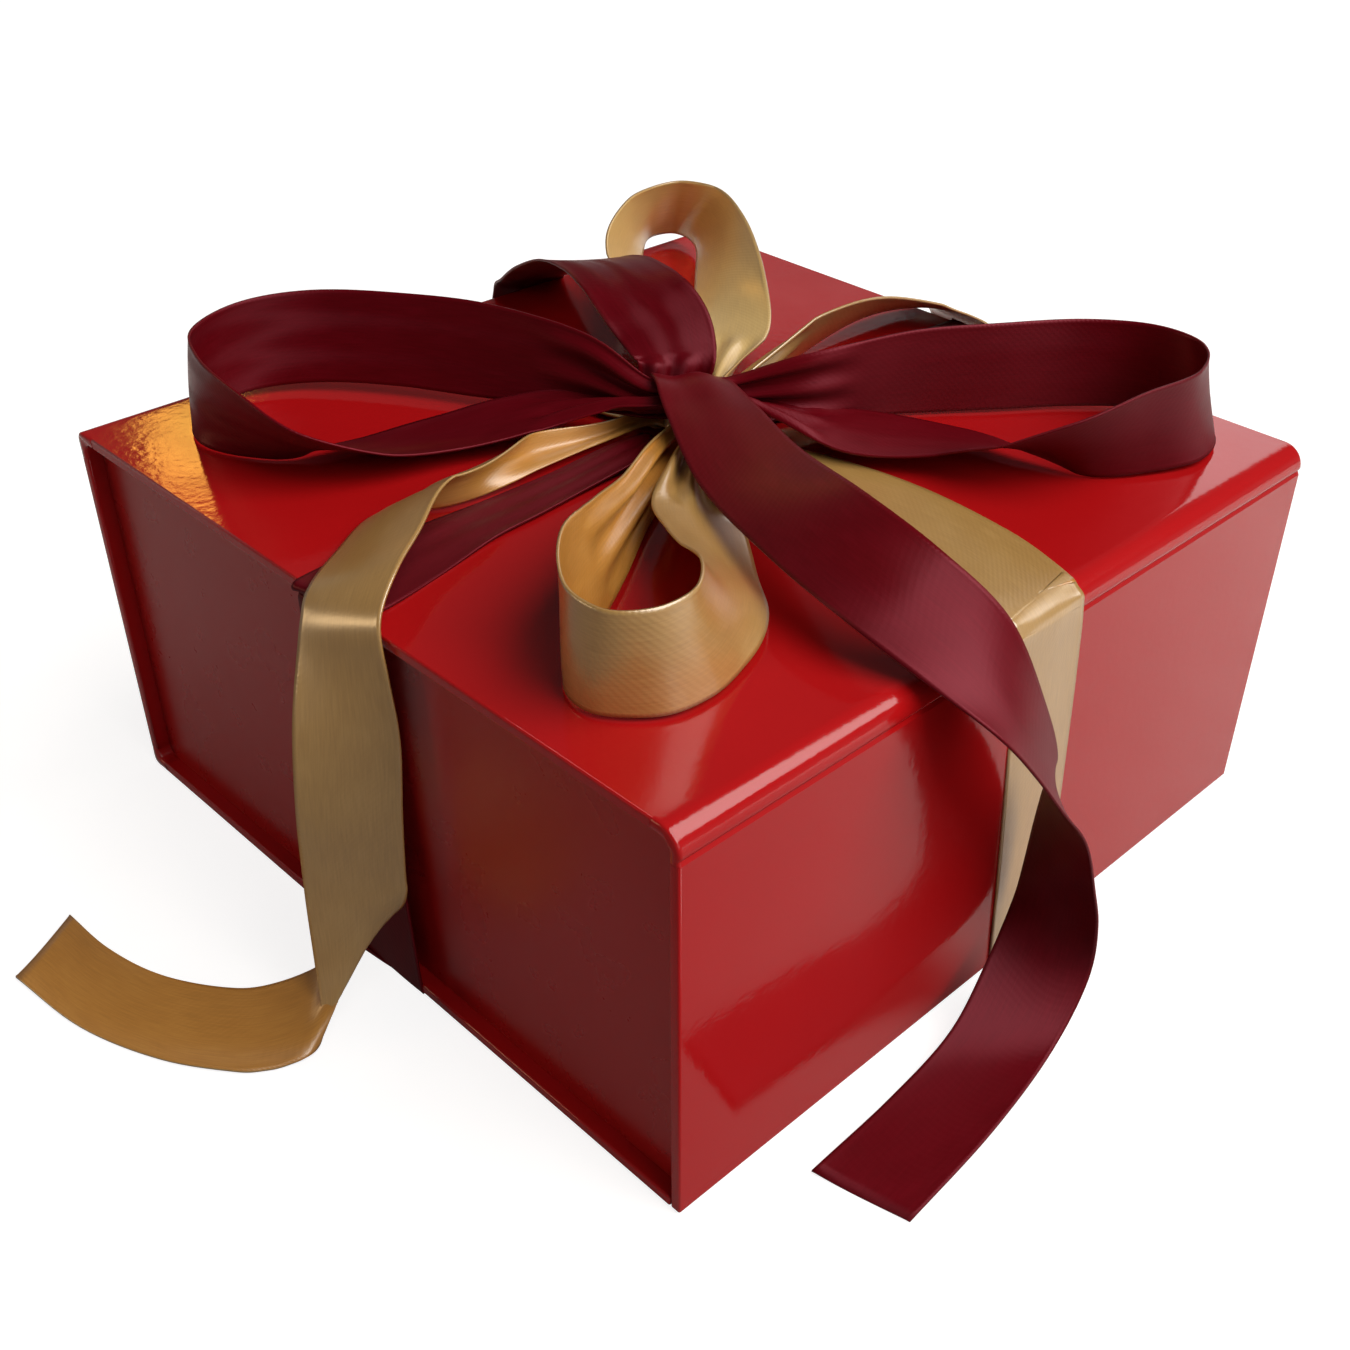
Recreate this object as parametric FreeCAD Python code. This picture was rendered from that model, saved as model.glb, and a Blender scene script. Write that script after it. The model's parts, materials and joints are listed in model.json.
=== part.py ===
"""Book-style magnetic gift box, tied with a gold and a burgundy satin ribbon in a four-loop bow.

Millimetres. +Z is up, the flap faces -Y, the spine is at +Y, and the origin is on the
table under the middle of the box.
"""
import FreeCAD, Part
import math
import os

from FreeCAD import Vector

# Box
BOX_WIDTH = 240.0
BOX_DEPTH = 240.0
BOX_HEIGHT = 115.0
BOARD = 2.4
PAPER = 0.3
FOLD_RADIUS = 6.0
FOLD_GAP = 2.0
TURN_IN = 14.0
FLAP_FOOT = 0.6

# Tray inside the cover
TRAY_INSET = 4.5
TRAY_CLEARANCE = 0.3
LOW_RIM_DROP = 1.3
STAY_LEG = 16.0
STAY_PAPER = 0.2

# Closing magnets
MAGNET_DIAMETER = 12.0
MAGNET_THICKNESS = 1.5
MAGNET_SPACING = 140.0
MAGNET_HEIGHT = 28.0

# Ribbons
RIBBON_WIDTH = 26.0
RIBBON = 0.4
STEPS_PER_SPAN = 3
CUT_GAP = 0.3
FAR = 400.0

# Places worked out from the driving dimensions
PANEL = BOARD + 2 * PAPER
HALF_W = BOX_WIDTH / 2
HALF_D = BOX_DEPTH / 2
HALF_R = RIBBON_WIDTH / 2
BASE_BOTTOM = RIBBON
BASE_TOP = BASE_BOTTOM + PANEL
LID_BOTTOM = BOX_HEIGHT - PANEL
AXIS_Y = HALF_D - FOLD_RADIUS
AXIS_Z = BOX_HEIGHT - FOLD_RADIUS
FOOT_Z = BASE_BOTTOM + FOLD_RADIUS
BOARD_END_Y = AXIS_Y - FOLD_GAP
BOARD_END_Z = AXIS_Z - FOLD_GAP
TRAY_X = HALF_W - TRAY_INSET
TRAY_Y = HALF_D - PANEL - TRAY_CLEARANCE
WALL_X = TRAY_X - PAPER - STAY_PAPER
WALL_Y = TRAY_Y - PAPER - STAY_PAPER
ROOM_X = WALL_X - BOARD
ROOM_Y = WALL_Y - BOARD
SIDE_RIM = LID_BOTTOM - TRAY_CLEARANCE - PAPER
END_RIM = SIDE_RIM - LOW_RIM_DROP
FLOOR_TOP = BASE_TOP + BOARD

# Where the ribbon bands cross the edges of the box, along that edge
GOLD_FRONT_TOP_X = 1.5
GOLD_FRONT_FOOT_X = 10.0
GOLD_BACK_X = 4.5
BURGUNDY_LEFT_TOP_Y = -2.5
BURGUNDY_RIGHT_TOP_Y = -9.0
BURGUNDY_FOOT_Y = -8.0

# Bow knot
KNOT_RADIUS = 7.5
GOLD_KNOT_TOP = 122.0
BURGUNDY_KNOT_TOP = 130.0

# Planes that divide a tail where it leaves the lid
FRONT_TAIL_CUT = -119.0
BACK_TAIL_CUT = 116.0
SIDE_TAIL_CUT = 121.1

# Each ribbon run is a list of stations. A station is the centre of the ribbon (x, y, z) and the
# direction across it from one selvedge to the other (x, y, z). With a seventh number the direction
# is squared to the run and takes that share of the full width, less than 1 where the knot gathers
# the ribbon. Without it the direction stays as long and as slanted as given, so that the ribbon can
# roll over at an angle.
LEFT_LOOP = [
    (-9, 10, 127, 1, 0, 10, 0.4),
    (-15, 30, 130, 5, 3, 24, 0.8),
    (-26, 57, 130.5, 6, 6, 24, 1),
    (-39, 80, 130.5, 6, 5, 24, 1),
    (-55, 98, 130.5, 5, 3, 24, 1),
    (-73, 106, 130, 2, 0, 25, 1),
    (-91, 102, 129, 1, -3, 25, 1),
    (-99, 87, 129, 1, -5, 24, 1),
    (-97, 68, 128, -5, -9, 21, 1),
    (-89, 53, 124.5, -9, -17, 14, 1),
    (-72, 46, 120.5, -12, -20, 6, 1),
    (-52, 42, 119.3, -14, -20, 2, 1),
    (-30, 32, 122, -16, -19, 0, 0.9),
    (-16, 17, 125, -12, -14, 6, 0.5),
    (-11, 8, 126, -8, -8, 10, 0.35),
]
RIGHT_LOOP = [
    (11, -6, 127, 0, 0, 10, 0.4),
    (27, -20, 129, 0, -3, 25, 0.8),
    (52, -31, 129, 0, -3, 25, 1),
    (74, -46, 129, 0, -1, 25, 1),
    (94, -61, 129, 0, 0, 25, 1),
    (106, -77, 129, -2, 0, 25, 1),
    (105, -95, 129, -5, 4, 24, 1),
    (88, -103, 129.3, -7, 3, 24, 1),
    (69, -98, 128.8, -9, 0, 24, 1),
    (53, -89, 126.8, -13, -5, 20, 1),
    (45.5, -74, 123.2, -18, -11, 11, 1),
    (41, -55, 120.3, -19, -15, 3, 1),
    (27, -33, 120.5, -20, -16, 0, 1),
    (14, -16, 124.5, -14, -14, 6, 0.55),
    (8, -10, 126, -8, -8, 10, 0.35),
]
FRONT_LOOP = [
    (-10, -5, 120.5, 0, 1, 10, 0.35),
    (-24, -13, 121, -3, 6, 12, 0.45),
    (-45, -26, 122.5, -2, 4, 14, 0.55),
    (-66, -40, 126, -4, 5, 20, 0.8),
    (-86, -53, 129, -6, 5, 23, 1),
    (-103, -67, 129, 0, -2, 25, 1),
    (-105, -80, 129, 2, -3, 24.5, 1),
    (-96, -89, 129, -2, 2, 25, 1),
    (-84, -90, 129, -7, 3, 24, 1),
    (-72, -84, 128.5, -13, 2, 21, 1),
    (-61, -74, 126.5, -18, 3, 18, 1),
    (-50, -58, 123.5, -15, 14, 13, 1),
    (-38, -41, 122, -16, 16, 9, 0.95),
    (-23, -24, 121.5, -10, 10, 6, 0.55),
    (-8, -10, 121, -5, 5, 8, 0.3),
]
BACK_LOOP = [
    (11, 5, 120.5, 2, -4, 8),
    (24, 15.5, 125, 6, -14, 2.5),
    (43.5, 29.5, 127, 10, -23.5, 2),
    (63.5, 49.5, 127.5, 11, -20.5, 11),
    (81.5, 70, 128, 8, -17.5, 18),
    (94.5, 86.5, 128.8, 3, -15, 21),
    (101, 97, 129, 0, -14, 22),
    (103, 105, 129, -3, -14, 22),
    (100, 112.5, 129, -7, -11, 22),
    (90, 114, 129, -9, -10, 22),
    (77.5, 108, 129, -13, -7, 21.5),
    (60.5, 94.5, 127.5, -19, -4.5, 17),
    (46.5, 76.5, 124.5, -18, -4, 9),
    (29, 49, 124.3, -18, -2, 12),
    (13, 25, 121.5, -12, 2, 9),
    (5, 10, 120, -4, 2, 6.5),
]
FRONT_TAIL = [
    (4.3, 8.6, 128.2, 11, -11, 0),
    (2.5, 5, 131.4, 14, -14, 0),
    (-1, -2, 132.6, 15.5, -15.5, 0),
    (-7, -13, 131.6, 17.5, -15, 2.5),
    (-22.5, -43, 130.5, 21, -12.5, 8.5),
    (-37, -79.5, 134, 20, -10, 14),
    (-41, -105.5, 131.3, 22, -6.5, 12.5),
    (-36, -123, 121, 24.5, -3, 7),
    (-30, -135.5, 105.5, 25, 4, -6),
    (-21, -138.5, 89.5, 23.5, 10, -11),
    (-13.5, -137.5, 76, 19.5, 17.5, -10.5),
    (-6.5, -136.5, 61.5, 13.5, 22, -11),
    (-2.5, -136, 43.5, 5.5, 24, -9.5),
    (-1, -136, 29, -1.5, 25, -7),
    (-7, -137.5, 14.5, -13, 23, 0),
    (-25, -141, 4, -16, 21, 3.5),
    (-53, -144, 1, -10, 24.5, 0),
    (-86, -146, 0.8, -6, 25.5, 0),
]
LEFT_TAIL = [
    (-4.5, 12, 119.2, 0.5, 1, 4),
    (-20.6, 14.5, 118.2, 2.8, 4.5, 3),
    (-41.7, 15.8, 119.6, 6.6, 7.9, 5.9),
    (-53, 14.4, 120.8, 10, 3.7, 8.5),
    (-69, 11.5, 122.4, 8, -7.4, 12.1),
    (-85, 13, 122.6, 8.5, -20.5, 13.5),
    (-102.5, 2.5, 121.6, 12.5, -20, 11),
    (-116, -7, 121, 11.5, -21, 10.5),
    (-123.4, -12, 115.6, 6.5, -24, 7.5),
    (-126, -14.5, 105, 8.5, -24.5, 2.5),
    (-129, -17, 88, 15.5, -21, 0),
    (-131.5, -17.3, 66, 18, -18.5, -0.5),
    (-132, -16, 46.5, 17, -20, 1),
    (-132.7, -16.4, 36, 17.5, -19.5, 12),
    (-133.8, -16.5, 26.8, 19, -14.5, 19.5),
    (-136, -16.7, 19.8, 20, -5.5, 23.5),
    (-139.8, -16, 14.5, 20.5, 4, 24.5),
    (-144.5, -13.8, 10.4, 21, 11.5, 18.5),
    (-149, -11, 6.3, 21.5, 14.5, 10.5),
    (-156, -6.5, 3.8, 17.5, 18.5, 5.5),
    (-163.5, -0.5, 3.2, 14, 21, 4.5),
    (-175, 16.5, 3.3, 14, 21, 4.5),
    (-182, 39.5, 2.3, 18.5, 18, 2.5),
    (-184, 65.5, 0.9, 22, 13, 0),
]
BACK_TAIL = [
    (4.5, 13, 125.5, 10, -6, 0, 0.7),
    (7, 14.5, 130.5, 14, -8, 1, 0.85),
    (9.5, 18, 133.8, 16, -11, 1.5, 0.95),
    (11.5, 24, 138, 19, -16, 4, 1),
    (12.5, 33, 142.3, 19.5, -16, 5, 1),
    (15.5, 44.5, 144.8, 22, -13, 3, 1),
    (21, 59, 143.6, 23.5, -10.5, 0, 1),
    (27, 77, 138.5, 24.3, -7, -3.5, 1),
    (30.5, 94, 130, 24.5, -5, -6, 1),
    (35, 108, 122.5, 25, -4, -4, 1),
    (39, 117.5, 117.3, 25, -4, -1, 1),
    (41, 123.2, 107, 25, -3, 0, 1),
    (42, 125, 90, 25, -2, 0, 1),
    (43, 127, 60, 25, -2, 0, 1),
    (45, 130, 30, 25, 2, 0, 1),
]
RIGHT_TAIL = [
    (11, 1.5, 121.5, -1, -1, 10, 0.3),
    (30, 4.5, 124, -8, -10, 18, 0.6),
    (56, 8.5, 126, -12, -14, 17, 1),
    (82, 10.5, 125.5, -12, -16, 14, 1),
    (105, 9, 122.5, -7, -22, 8, 1),
    (116.5, 5.5, 119.6, -3, -25, 3, 1),
    (123, 3.5, 114.5, -1, -25, 1, 1),
    (125, 2, 105, 0, -25, 0, 1),
    (126, -1, 85, 3, -25, 0, 1),
    (127, -4, 55, 6, -24, 0, 1),
    (130, -6, 25, 6, -24, 0, 1),
]
BURGUNDY_LEFT_TOP = [
    (-10, 4.5, 117.4, 0, 10, 0, 0.36),
    (-21, 3.6, 117.4, 0, 25, 0, 0.48),
    (-43, 2.6, 116.4, 0, 25, 0, 0.5),
    (-60, 2.4, 115.8, 0, 25, 0, 0.61),
    (-76, 2.3, 115.5, 1, 25, 0, 0.7),
    (-95, 0.3, 115.4, 2, 25, 0, 0.87),
    (-115, -2, 115.4, 2, 25, 0, 1),
    (-126, -3, 115.4, 2, 25, 0, 1),
]
BURGUNDY_RIGHT_TOP = [
    (10, 0, 116.2, 0, 10, 0, 0.35),
    (30, -2, 116.4, 0, 25, 0, 0.7),
    (60, -5, 116.2, 1, 25, 0, 1),
    (90, -7, 115.5, 1, 25, 0, 1),
    (115, -8.7, 115.4, 1, 25, 0, 1),
    (126, -9.4, 115.4, 1, 25, 0, 1),
]
GOLD_FRONT_TOP = [
    (1, -10, 116.2, 10, 0, 0, 0.35),
    (6, -32, 116.4, 25, 3, 0, 0.8),
    (9.5, -60, 116, 25, 0, 0, 1),
    (8, -90, 115.5, 25, -3, 0, 1),
    (2.5, -113, 115.4, 25, -5, 0, 1),
    (1, -120, 115.4, 25, -5, 0, 1),
]
GOLD_BACK_TOP = [
    (0, 10, 116.2, 10, 0, 0, 0.35),
    (0, 30, 116.4, 25, 0, 0, 0.8),
    (1, 60, 115.8, 25, 0, 0, 1),
    (2.4, 100, 115.4, 25, -2, 0, 1),
    (GOLD_BACK_X, 120, 115.4, 25, -2, 0, 1),
]


def block(x0, x1, y0, y1, z0, z1):
    """Box between two corners."""
    return Part.makeBox(x1 - x0, y1 - y0, z1 - z0, Vector(x0, y0, z0))


def extrude_polygon(points, direction):
    """Prism on a closed outline of points."""
    wire = Part.makePolygon(points + points[:1])
    return Part.Face(wire).extrude(direction)


def blended(rows, steps):
    """Rows of numbers with smooth rows put between them, spaced by the distance between centres."""
    place = [0.0]
    for before, after in zip(rows, rows[1:]):
        place.append(place[-1] + math.sqrt(math.dist(before[:3], after[:3])))
    last = len(rows) - 1
    slope = []
    for i in range(len(rows)):
        low, high = max(i - 1, 0), min(i + 1, last)
        run = place[high] - place[low]
        slope.append([(b - a) / run for a, b in zip(rows[low], rows[high])])
    out = []
    for i in range(last):
        run = place[i + 1] - place[i]
        for k in range(steps):
            t = k / steps
            weights = (2 * t**3 - 3 * t**2 + 1, (t**3 - 2 * t**2 + t) * run,
                       3 * t**2 - 2 * t**3, (t**3 - t**2) * run)
            parts = zip(rows[i], slope[i], rows[i + 1], slope[i + 1])
            out.append([sum(w * v for w, v in zip(weights, four)) for four in parts])
    out.append(list(rows[last]))
    return out


def ribbon(rows):
    """Thin ribbon solid lofted through its stations; those with a share are squared to the run."""
    squared = len(rows[0]) == 7
    rows = blended(rows, STEPS_PER_SPAN)
    centres = [Vector(*row[:3]) for row in rows]
    last = len(rows) - 1
    sections = []
    for i, row in enumerate(rows):
        along = (centres[min(i + 1, last)] - centres[max(i - 1, 0)]).normalize()
        across = Vector(*row[3:6])
        if squared:
            across = (across - along * across.dot(along)).normalize() * (RIBBON_WIDTH * row[6])
        half_width = across / 2
        half_thick = along.cross(across).normalize() * (RIBBON / 2)
        corners = [centres[i] + half_width * a + half_thick * b
                   for a, b in ((-1, -1), (1, -1), (1, 1), (-1, 1))]
        sections.append(Part.makePolygon(corners + corners[:1]))
    return Part.makeLoft(sections, True, True)


def split(shape, axis, place):
    """The parts of a shape below and above a plane across an axis, with a small gap between them."""
    parts = []
    for low, high in ((-FAR, place - CUT_GAP / 2), (place + CUT_GAP / 2, FAR)):
        limits = [-FAR, FAR] * 3
        limits[2 * axis:2 * axis + 2] = [low, high]
        parts.append(shape.common(block(*limits)))
    return parts


def quarter_tube(x0, x1, centre_y, centre_z, radius, thickness, start_degrees):
    """Quarter of a tube along X, from the start angle (0 is +Y, 90 is +Z) on by 90 degrees."""
    def point(r, degrees):
        angle = math.radians(start_degrees + degrees)
        return Vector(x0, centre_y + r * math.cos(angle), centre_z + r * math.sin(angle))

    outer = radius + thickness
    edges = [Part.Arc(point(outer, 0), point(outer, 45), point(outer, 90)).toShape(),
             Part.makeLine(point(outer, 90), point(radius, 90)),
             Part.Arc(point(radius, 90), point(radius, 45), point(radius, 0)).toShape(),
             Part.makeLine(point(radius, 0), point(outer, 0))]
    return Part.Face(Part.Wire(edges)).extrude(Vector(x1 - x0, 0, 0))


def grow(shape_box, amount):
    """Corner values of a box made larger by an amount on each axis."""
    return [value + step for value, step in zip(shape_box, amount)]


def wrapped_panel(corners, inner_face):
    """Board, wrap and liner of a cover panel; inner_face names the side that the liner is on."""
    x0, x1, y0, y1, z0, z1 = corners
    board = block(*grow(corners, (PAPER, -PAPER) * 3))
    axis, towards = inner_face
    window = grow(corners, (TURN_IN, -TURN_IN) * 3)
    low, high = ((x0, x1), (y0, y1), (z0, z1))[axis]
    if towards > 0:
        window[2 * axis:2 * axis + 2] = [high - PAPER, high]
    else:
        window[2 * axis:2 * axis + 2] = [low, low + PAPER]
    liner = block(*window)
    wrap = block(*corners).cut(board).cut(liner)
    return board, wrap, liner


def fold_paper(side, sign_z, axis_z):
    """Wrap paper that goes round a fold: a quarter tube with a short flat strip on each side."""
    centre_y = side * AXIS_Y
    start = {(1, 1): 0, (-1, 1): 90, (1, -1): 270}[(side, sign_z)]
    paper = quarter_tube(-HALF_W, HALF_W, centre_y, axis_z, FOLD_RADIUS - PAPER, PAPER, start)
    if sign_z < 0:
        return paper
    inner = side * BOARD_END_Y
    flat = block(-HALF_W, HALF_W, min(inner, centre_y), max(inner, centre_y), BOX_HEIGHT - PAPER, BOX_HEIGHT)
    face = side * HALF_D
    back = face - side * PAPER
    upright = block(-HALF_W, HALF_W, min(face, back), max(face, back), BOARD_END_Z, axis_z)
    return paper.fuse([flat, upright]).removeSplitter()


def magnet_pair(y_start):
    """Two flat disc magnets with their axes along Y."""
    discs = []
    for x in (-MAGNET_SPACING / 2, MAGNET_SPACING / 2):
        start = Vector(x, y_start, MAGNET_HEIGHT)
        discs.append(Part.makeCylinder(MAGNET_DIAMETER / 2, MAGNET_THICKNESS, start, Vector(0, 1, 0)))
    return Part.makeCompound(discs)


def make_cover():
    """Base, spine, lid and flap panels with the paper folds between them."""
    nodes = {}
    base = (-HALF_W, HALF_W, -TRAY_Y, AXIS_Y, BASE_BOTTOM, BASE_TOP)
    spine = (-HALF_W, HALF_W, HALF_D - PANEL, HALF_D, FOOT_Z, BOARD_END_Z)
    lid = (-HALF_W, HALF_W, -BOARD_END_Y, BOARD_END_Y, LID_BOTTOM, BOX_HEIGHT)
    flap = (-HALF_W, HALF_W, -HALF_D, PANEL - HALF_D, FLAP_FOOT, BOARD_END_Z)
    nodes["base_board"], nodes["base_wrap"], _ = wrapped_panel(base, (2, 1))
    nodes["spine_board"], nodes["spine_wrap"], _ = wrapped_panel(spine, (1, -1))
    nodes["lid_board"], nodes["lid_wrap"], nodes["lid_liner"] = wrapped_panel(lid, (2, -1))
    nodes["flap_board"], nodes["flap_wrap"], nodes["flap_liner"] = wrapped_panel(flap, (1, 1))
    nodes["base_fold_paper"] = fold_paper(1, -1, FOOT_Z)
    nodes["spine_fold_paper"] = fold_paper(1, 1, AXIS_Z)
    nodes["flap_fold_paper"] = fold_paper(-1, 1, AXIS_Z)
    flap_magnets = magnet_pair(PANEL - HALF_D - PAPER - MAGNET_THICKNESS)
    nodes["flap_board"] = nodes["flap_board"].cut(flap_magnets)
    nodes["flap_magnets"] = flap_magnets
    return nodes


def make_tray():
    """Board tray glued to the base and the spine, with its stays, wrap and liner."""
    nodes = {}
    nodes["tray_floor"] = block(-ROOM_X, ROOM_X, -ROOM_Y, ROOM_Y, BASE_TOP, FLOOR_TOP)
    front = block(-WALL_X, WALL_X, -WALL_Y, -ROOM_Y, BASE_TOP, END_RIM)
    magnets = magnet_pair(-WALL_Y)
    nodes["tray_front_wall"] = front.cut(magnets)
    nodes["tray_magnets"] = magnets
    nodes["tray_back_wall"] = block(-WALL_X, WALL_X, ROOM_Y, WALL_Y, BASE_TOP, END_RIM)
    nodes["tray_left_wall"] = block(-WALL_X, -ROOM_X, -ROOM_Y, ROOM_Y, BASE_TOP, SIDE_RIM)
    nodes["tray_right_wall"] = block(ROOM_X, WALL_X, -ROOM_Y, ROOM_Y, BASE_TOP, SIDE_RIM)

    stays = []
    for sx in (-1, 1):
        for sy in (-1, 1):
            xs = sorted((sx * (WALL_X + STAY_PAPER), sx * (WALL_X - STAY_LEG)))
            ys = sorted((sy * (WALL_Y + STAY_PAPER), sy * (WALL_Y - STAY_LEG)))
            inside_x = sorted((sx * WALL_X, sx * (WALL_X - 2 * STAY_LEG)))
            inside_y = sorted((sy * WALL_Y, sy * (WALL_Y - 2 * STAY_LEG)))
            corner = block(*xs, *ys, BASE_TOP + BOARD, END_RIM - BOARD)
            stays.append(corner.cut(block(*inside_x, *inside_y, BASE_TOP, END_RIM)))
    nodes["tray_corner_stays"] = Part.makeCompound(stays)

    skin_x = TRAY_X - PAPER
    skin_y = TRAY_Y - PAPER
    wrap = block(-TRAY_X, TRAY_X, -TRAY_Y, TRAY_Y, BASE_TOP, END_RIM + PAPER)
    wrap = wrap.cut(block(-skin_x, skin_x, -skin_y, skin_y, BASE_TOP, END_RIM))
    wrap = wrap.cut(block(-ROOM_X, ROOM_X, -ROOM_Y, ROOM_Y, BASE_TOP, SIDE_RIM))
    side_slot_y = ROOM_Y
    for sx in (-1, 1):
        slot = sorted((sx * skin_x, sx * ROOM_X))
        wrap = wrap.cut(block(*slot, -side_slot_y, side_slot_y, END_RIM, SIDE_RIM))
        cap = block(*sorted((sx * TRAY_X, sx * ROOM_X)), -ROOM_Y, ROOM_Y, SIDE_RIM, SIDE_RIM + PAPER)
        cheek = block(*sorted((sx * TRAY_X, sx * skin_x)), -ROOM_Y, ROOM_Y, END_RIM, SIDE_RIM)
        wrap = wrap.fuse([cap, cheek])
    nodes["tray_wrap"] = wrap.removeSplitter()

    liner = block(-ROOM_X, ROOM_X, -ROOM_Y, ROOM_Y, FLOOR_TOP, END_RIM)
    room = block(PAPER - ROOM_X, ROOM_X - PAPER, PAPER - ROOM_Y, ROOM_Y - PAPER, FLOOR_TOP + PAPER, END_RIM)
    nodes["tray_liner"] = liner.cut(room)
    return nodes


def make_gold_band():
    """Gold ribbon round the box from front to back, in the runs that the folds divide it into."""
    nodes = {}
    nodes["gold_band_front_top"] = split(ribbon(GOLD_FRONT_TOP), 1, -AXIS_Y)[1]
    nodes["gold_band_back_top"] = split(ribbon(GOLD_BACK_TOP), 1, AXIS_Y)[0]
    x_top = GOLD_FRONT_TOP_X
    x_foot = GOLD_FRONT_FOOT_X
    flap_run = [Vector(x_foot - HALF_R, -HALF_D, FLAP_FOOT), Vector(x_foot + HALF_R, -HALF_D, FLAP_FOOT),
                Vector(x_top + HALF_R, -HALF_D, BOARD_END_Z), Vector(x_top - HALF_R, -HALF_D, BOARD_END_Z)]
    nodes["gold_band_flap"] = extrude_polygon(flap_run, Vector(0, -RIBBON, 0))
    x0, x1 = GOLD_BACK_X - HALF_R, GOLD_BACK_X + HALF_R
    nodes["gold_band_spine"] = block(x0, x1, HALF_D, HALF_D + RIBBON, FOOT_Z, BOARD_END_Z)
    nodes["gold_band_base_fold"] = quarter_tube(x0, x1, AXIS_Y, FOOT_Z, FOLD_RADIUS, RIBBON, 270)
    nodes["gold_band_spine_fold"] = quarter_tube(x0, x1, AXIS_Y, AXIS_Z, FOLD_RADIUS, RIBBON, 0)
    nodes["gold_band_front_fold"] = quarter_tube(
        x_top - HALF_R, x_top + HALF_R, -AXIS_Y, AXIS_Z, FOLD_RADIUS, RIBBON, 90)
    under = [Vector(x_foot - HALF_R, -TRAY_Y, 0), Vector(x_foot + HALF_R, -TRAY_Y, 0),
             Vector(x1, AXIS_Y, 0), Vector(x0, AXIS_Y, 0)]
    crossing = block(-HALF_W, HALF_W, BURGUNDY_FOOT_Y - HALF_R - RIBBON, BURGUNDY_FOOT_Y + HALF_R + RIBBON, 0, RIBBON)
    nodes["gold_band_bottom"] = extrude_polygon(under, Vector(0, 0, RIBBON)).cut(crossing)
    return nodes


def burgundy_side(sign, top_y):
    """Upright burgundy run on one side, from under the base to a tab glued under the lid's edge."""
    x = sign * HALF_W
    top = LID_BOTTOM - RIBBON
    outline = [Vector(x, BURGUNDY_FOOT_Y - HALF_R, 0), Vector(x, BURGUNDY_FOOT_Y + HALF_R, 0),
               Vector(x, top_y + HALF_R, top), Vector(x, top_y - HALF_R, top)]
    run = extrude_polygon(outline, Vector(sign * RIBBON, 0, 0))
    tab = block(*sorted((x, sign * TRAY_X)), top_y - HALF_R, top_y + HALF_R, top - RIBBON, top)
    return run.fuse(tab).removeSplitter()


def burgundy_top(rows, sign, top_y):
    """Burgundy run on the lid, turned down over the lid's edge."""
    x = sign * HALF_W
    inside = block(-HALF_W, HALF_W, -HALF_D, HALF_D, BOX_HEIGHT, BOX_HEIGHT + RIBBON_WIDTH)
    lip = block(*sorted((x, x + sign * RIBBON)), top_y - HALF_R, top_y + HALF_R, LID_BOTTOM, BOX_HEIGHT + RIBBON)
    return ribbon(rows).common(inside).fuse(lip)


def make_burgundy_band():
    """Burgundy ribbon round the box from side to side."""
    nodes = {}
    nodes["burgundy_band_left_top"] = burgundy_top(BURGUNDY_LEFT_TOP, -1, BURGUNDY_LEFT_TOP_Y)
    nodes["burgundy_band_right_top"] = burgundy_top(BURGUNDY_RIGHT_TOP, 1, BURGUNDY_RIGHT_TOP_Y)
    nodes["burgundy_band_left_side"] = burgundy_side(-1, BURGUNDY_LEFT_TOP_Y)
    nodes["burgundy_band_right_side"] = burgundy_side(1, BURGUNDY_RIGHT_TOP_Y)
    nodes["burgundy_band_bottom"] = block(
        -HALF_W, HALF_W, BURGUNDY_FOOT_Y - HALF_R, BURGUNDY_FOOT_Y + HALF_R, 0, RIBBON)
    return nodes


def make_bow():
    """Knots, loops and tails of the bow on the lid."""
    nodes = {}
    foot = BOX_HEIGHT + 2 * RIBBON
    nodes["gold_knot"] = Part.makeCylinder(KNOT_RADIUS, GOLD_KNOT_TOP - foot, Vector(0, 0, foot))
    crown = Part.makeCylinder(KNOT_RADIUS, BURGUNDY_KNOT_TOP - GOLD_KNOT_TOP, Vector(0, 0, GOLD_KNOT_TOP))
    nodes["burgundy_knot"] = crown.makeFillet(KNOT_RADIUS / 2, [crown.Edges[0]])
    nodes["burgundy_left_loop"] = ribbon(LEFT_LOOP)
    nodes["burgundy_right_loop"] = ribbon(RIGHT_LOOP)
    nodes["gold_front_loop"] = ribbon(FRONT_LOOP)
    nodes["gold_back_loop"] = ribbon(BACK_LOOP)
    fall, tail = split(ribbon(FRONT_TAIL), 1, FRONT_TAIL_CUT)
    nodes["burgundy_front_tail"], nodes["burgundy_front_fall"] = tail, fall
    tail, fall = split(ribbon(BACK_TAIL), 1, BACK_TAIL_CUT)
    nodes["burgundy_back_tail"], nodes["burgundy_back_fall"] = tail, fall
    fall, tail = split(ribbon(LEFT_TAIL), 0, -SIDE_TAIL_CUT)
    nodes["gold_left_tail"], nodes["gold_left_fall"] = tail, fall
    tail, fall = split(ribbon(RIGHT_TAIL), 0, SIDE_TAIL_CUT)
    nodes["gold_right_tail"], nodes["gold_right_fall"] = tail, fall
    return nodes


def main():
    os.makedirs("parts", exist_ok=True)
    for group in (make_cover(), make_tray(), make_gold_band(), make_burgundy_band(), make_bow()):
        for name, shape in group.items():
            shape.exportStep("parts/" + name + ".step")
            print(name, "solids", len(shape.Solids), "valid", shape.isValid(), "volume", round(shape.Volume, 1))


main()
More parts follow.
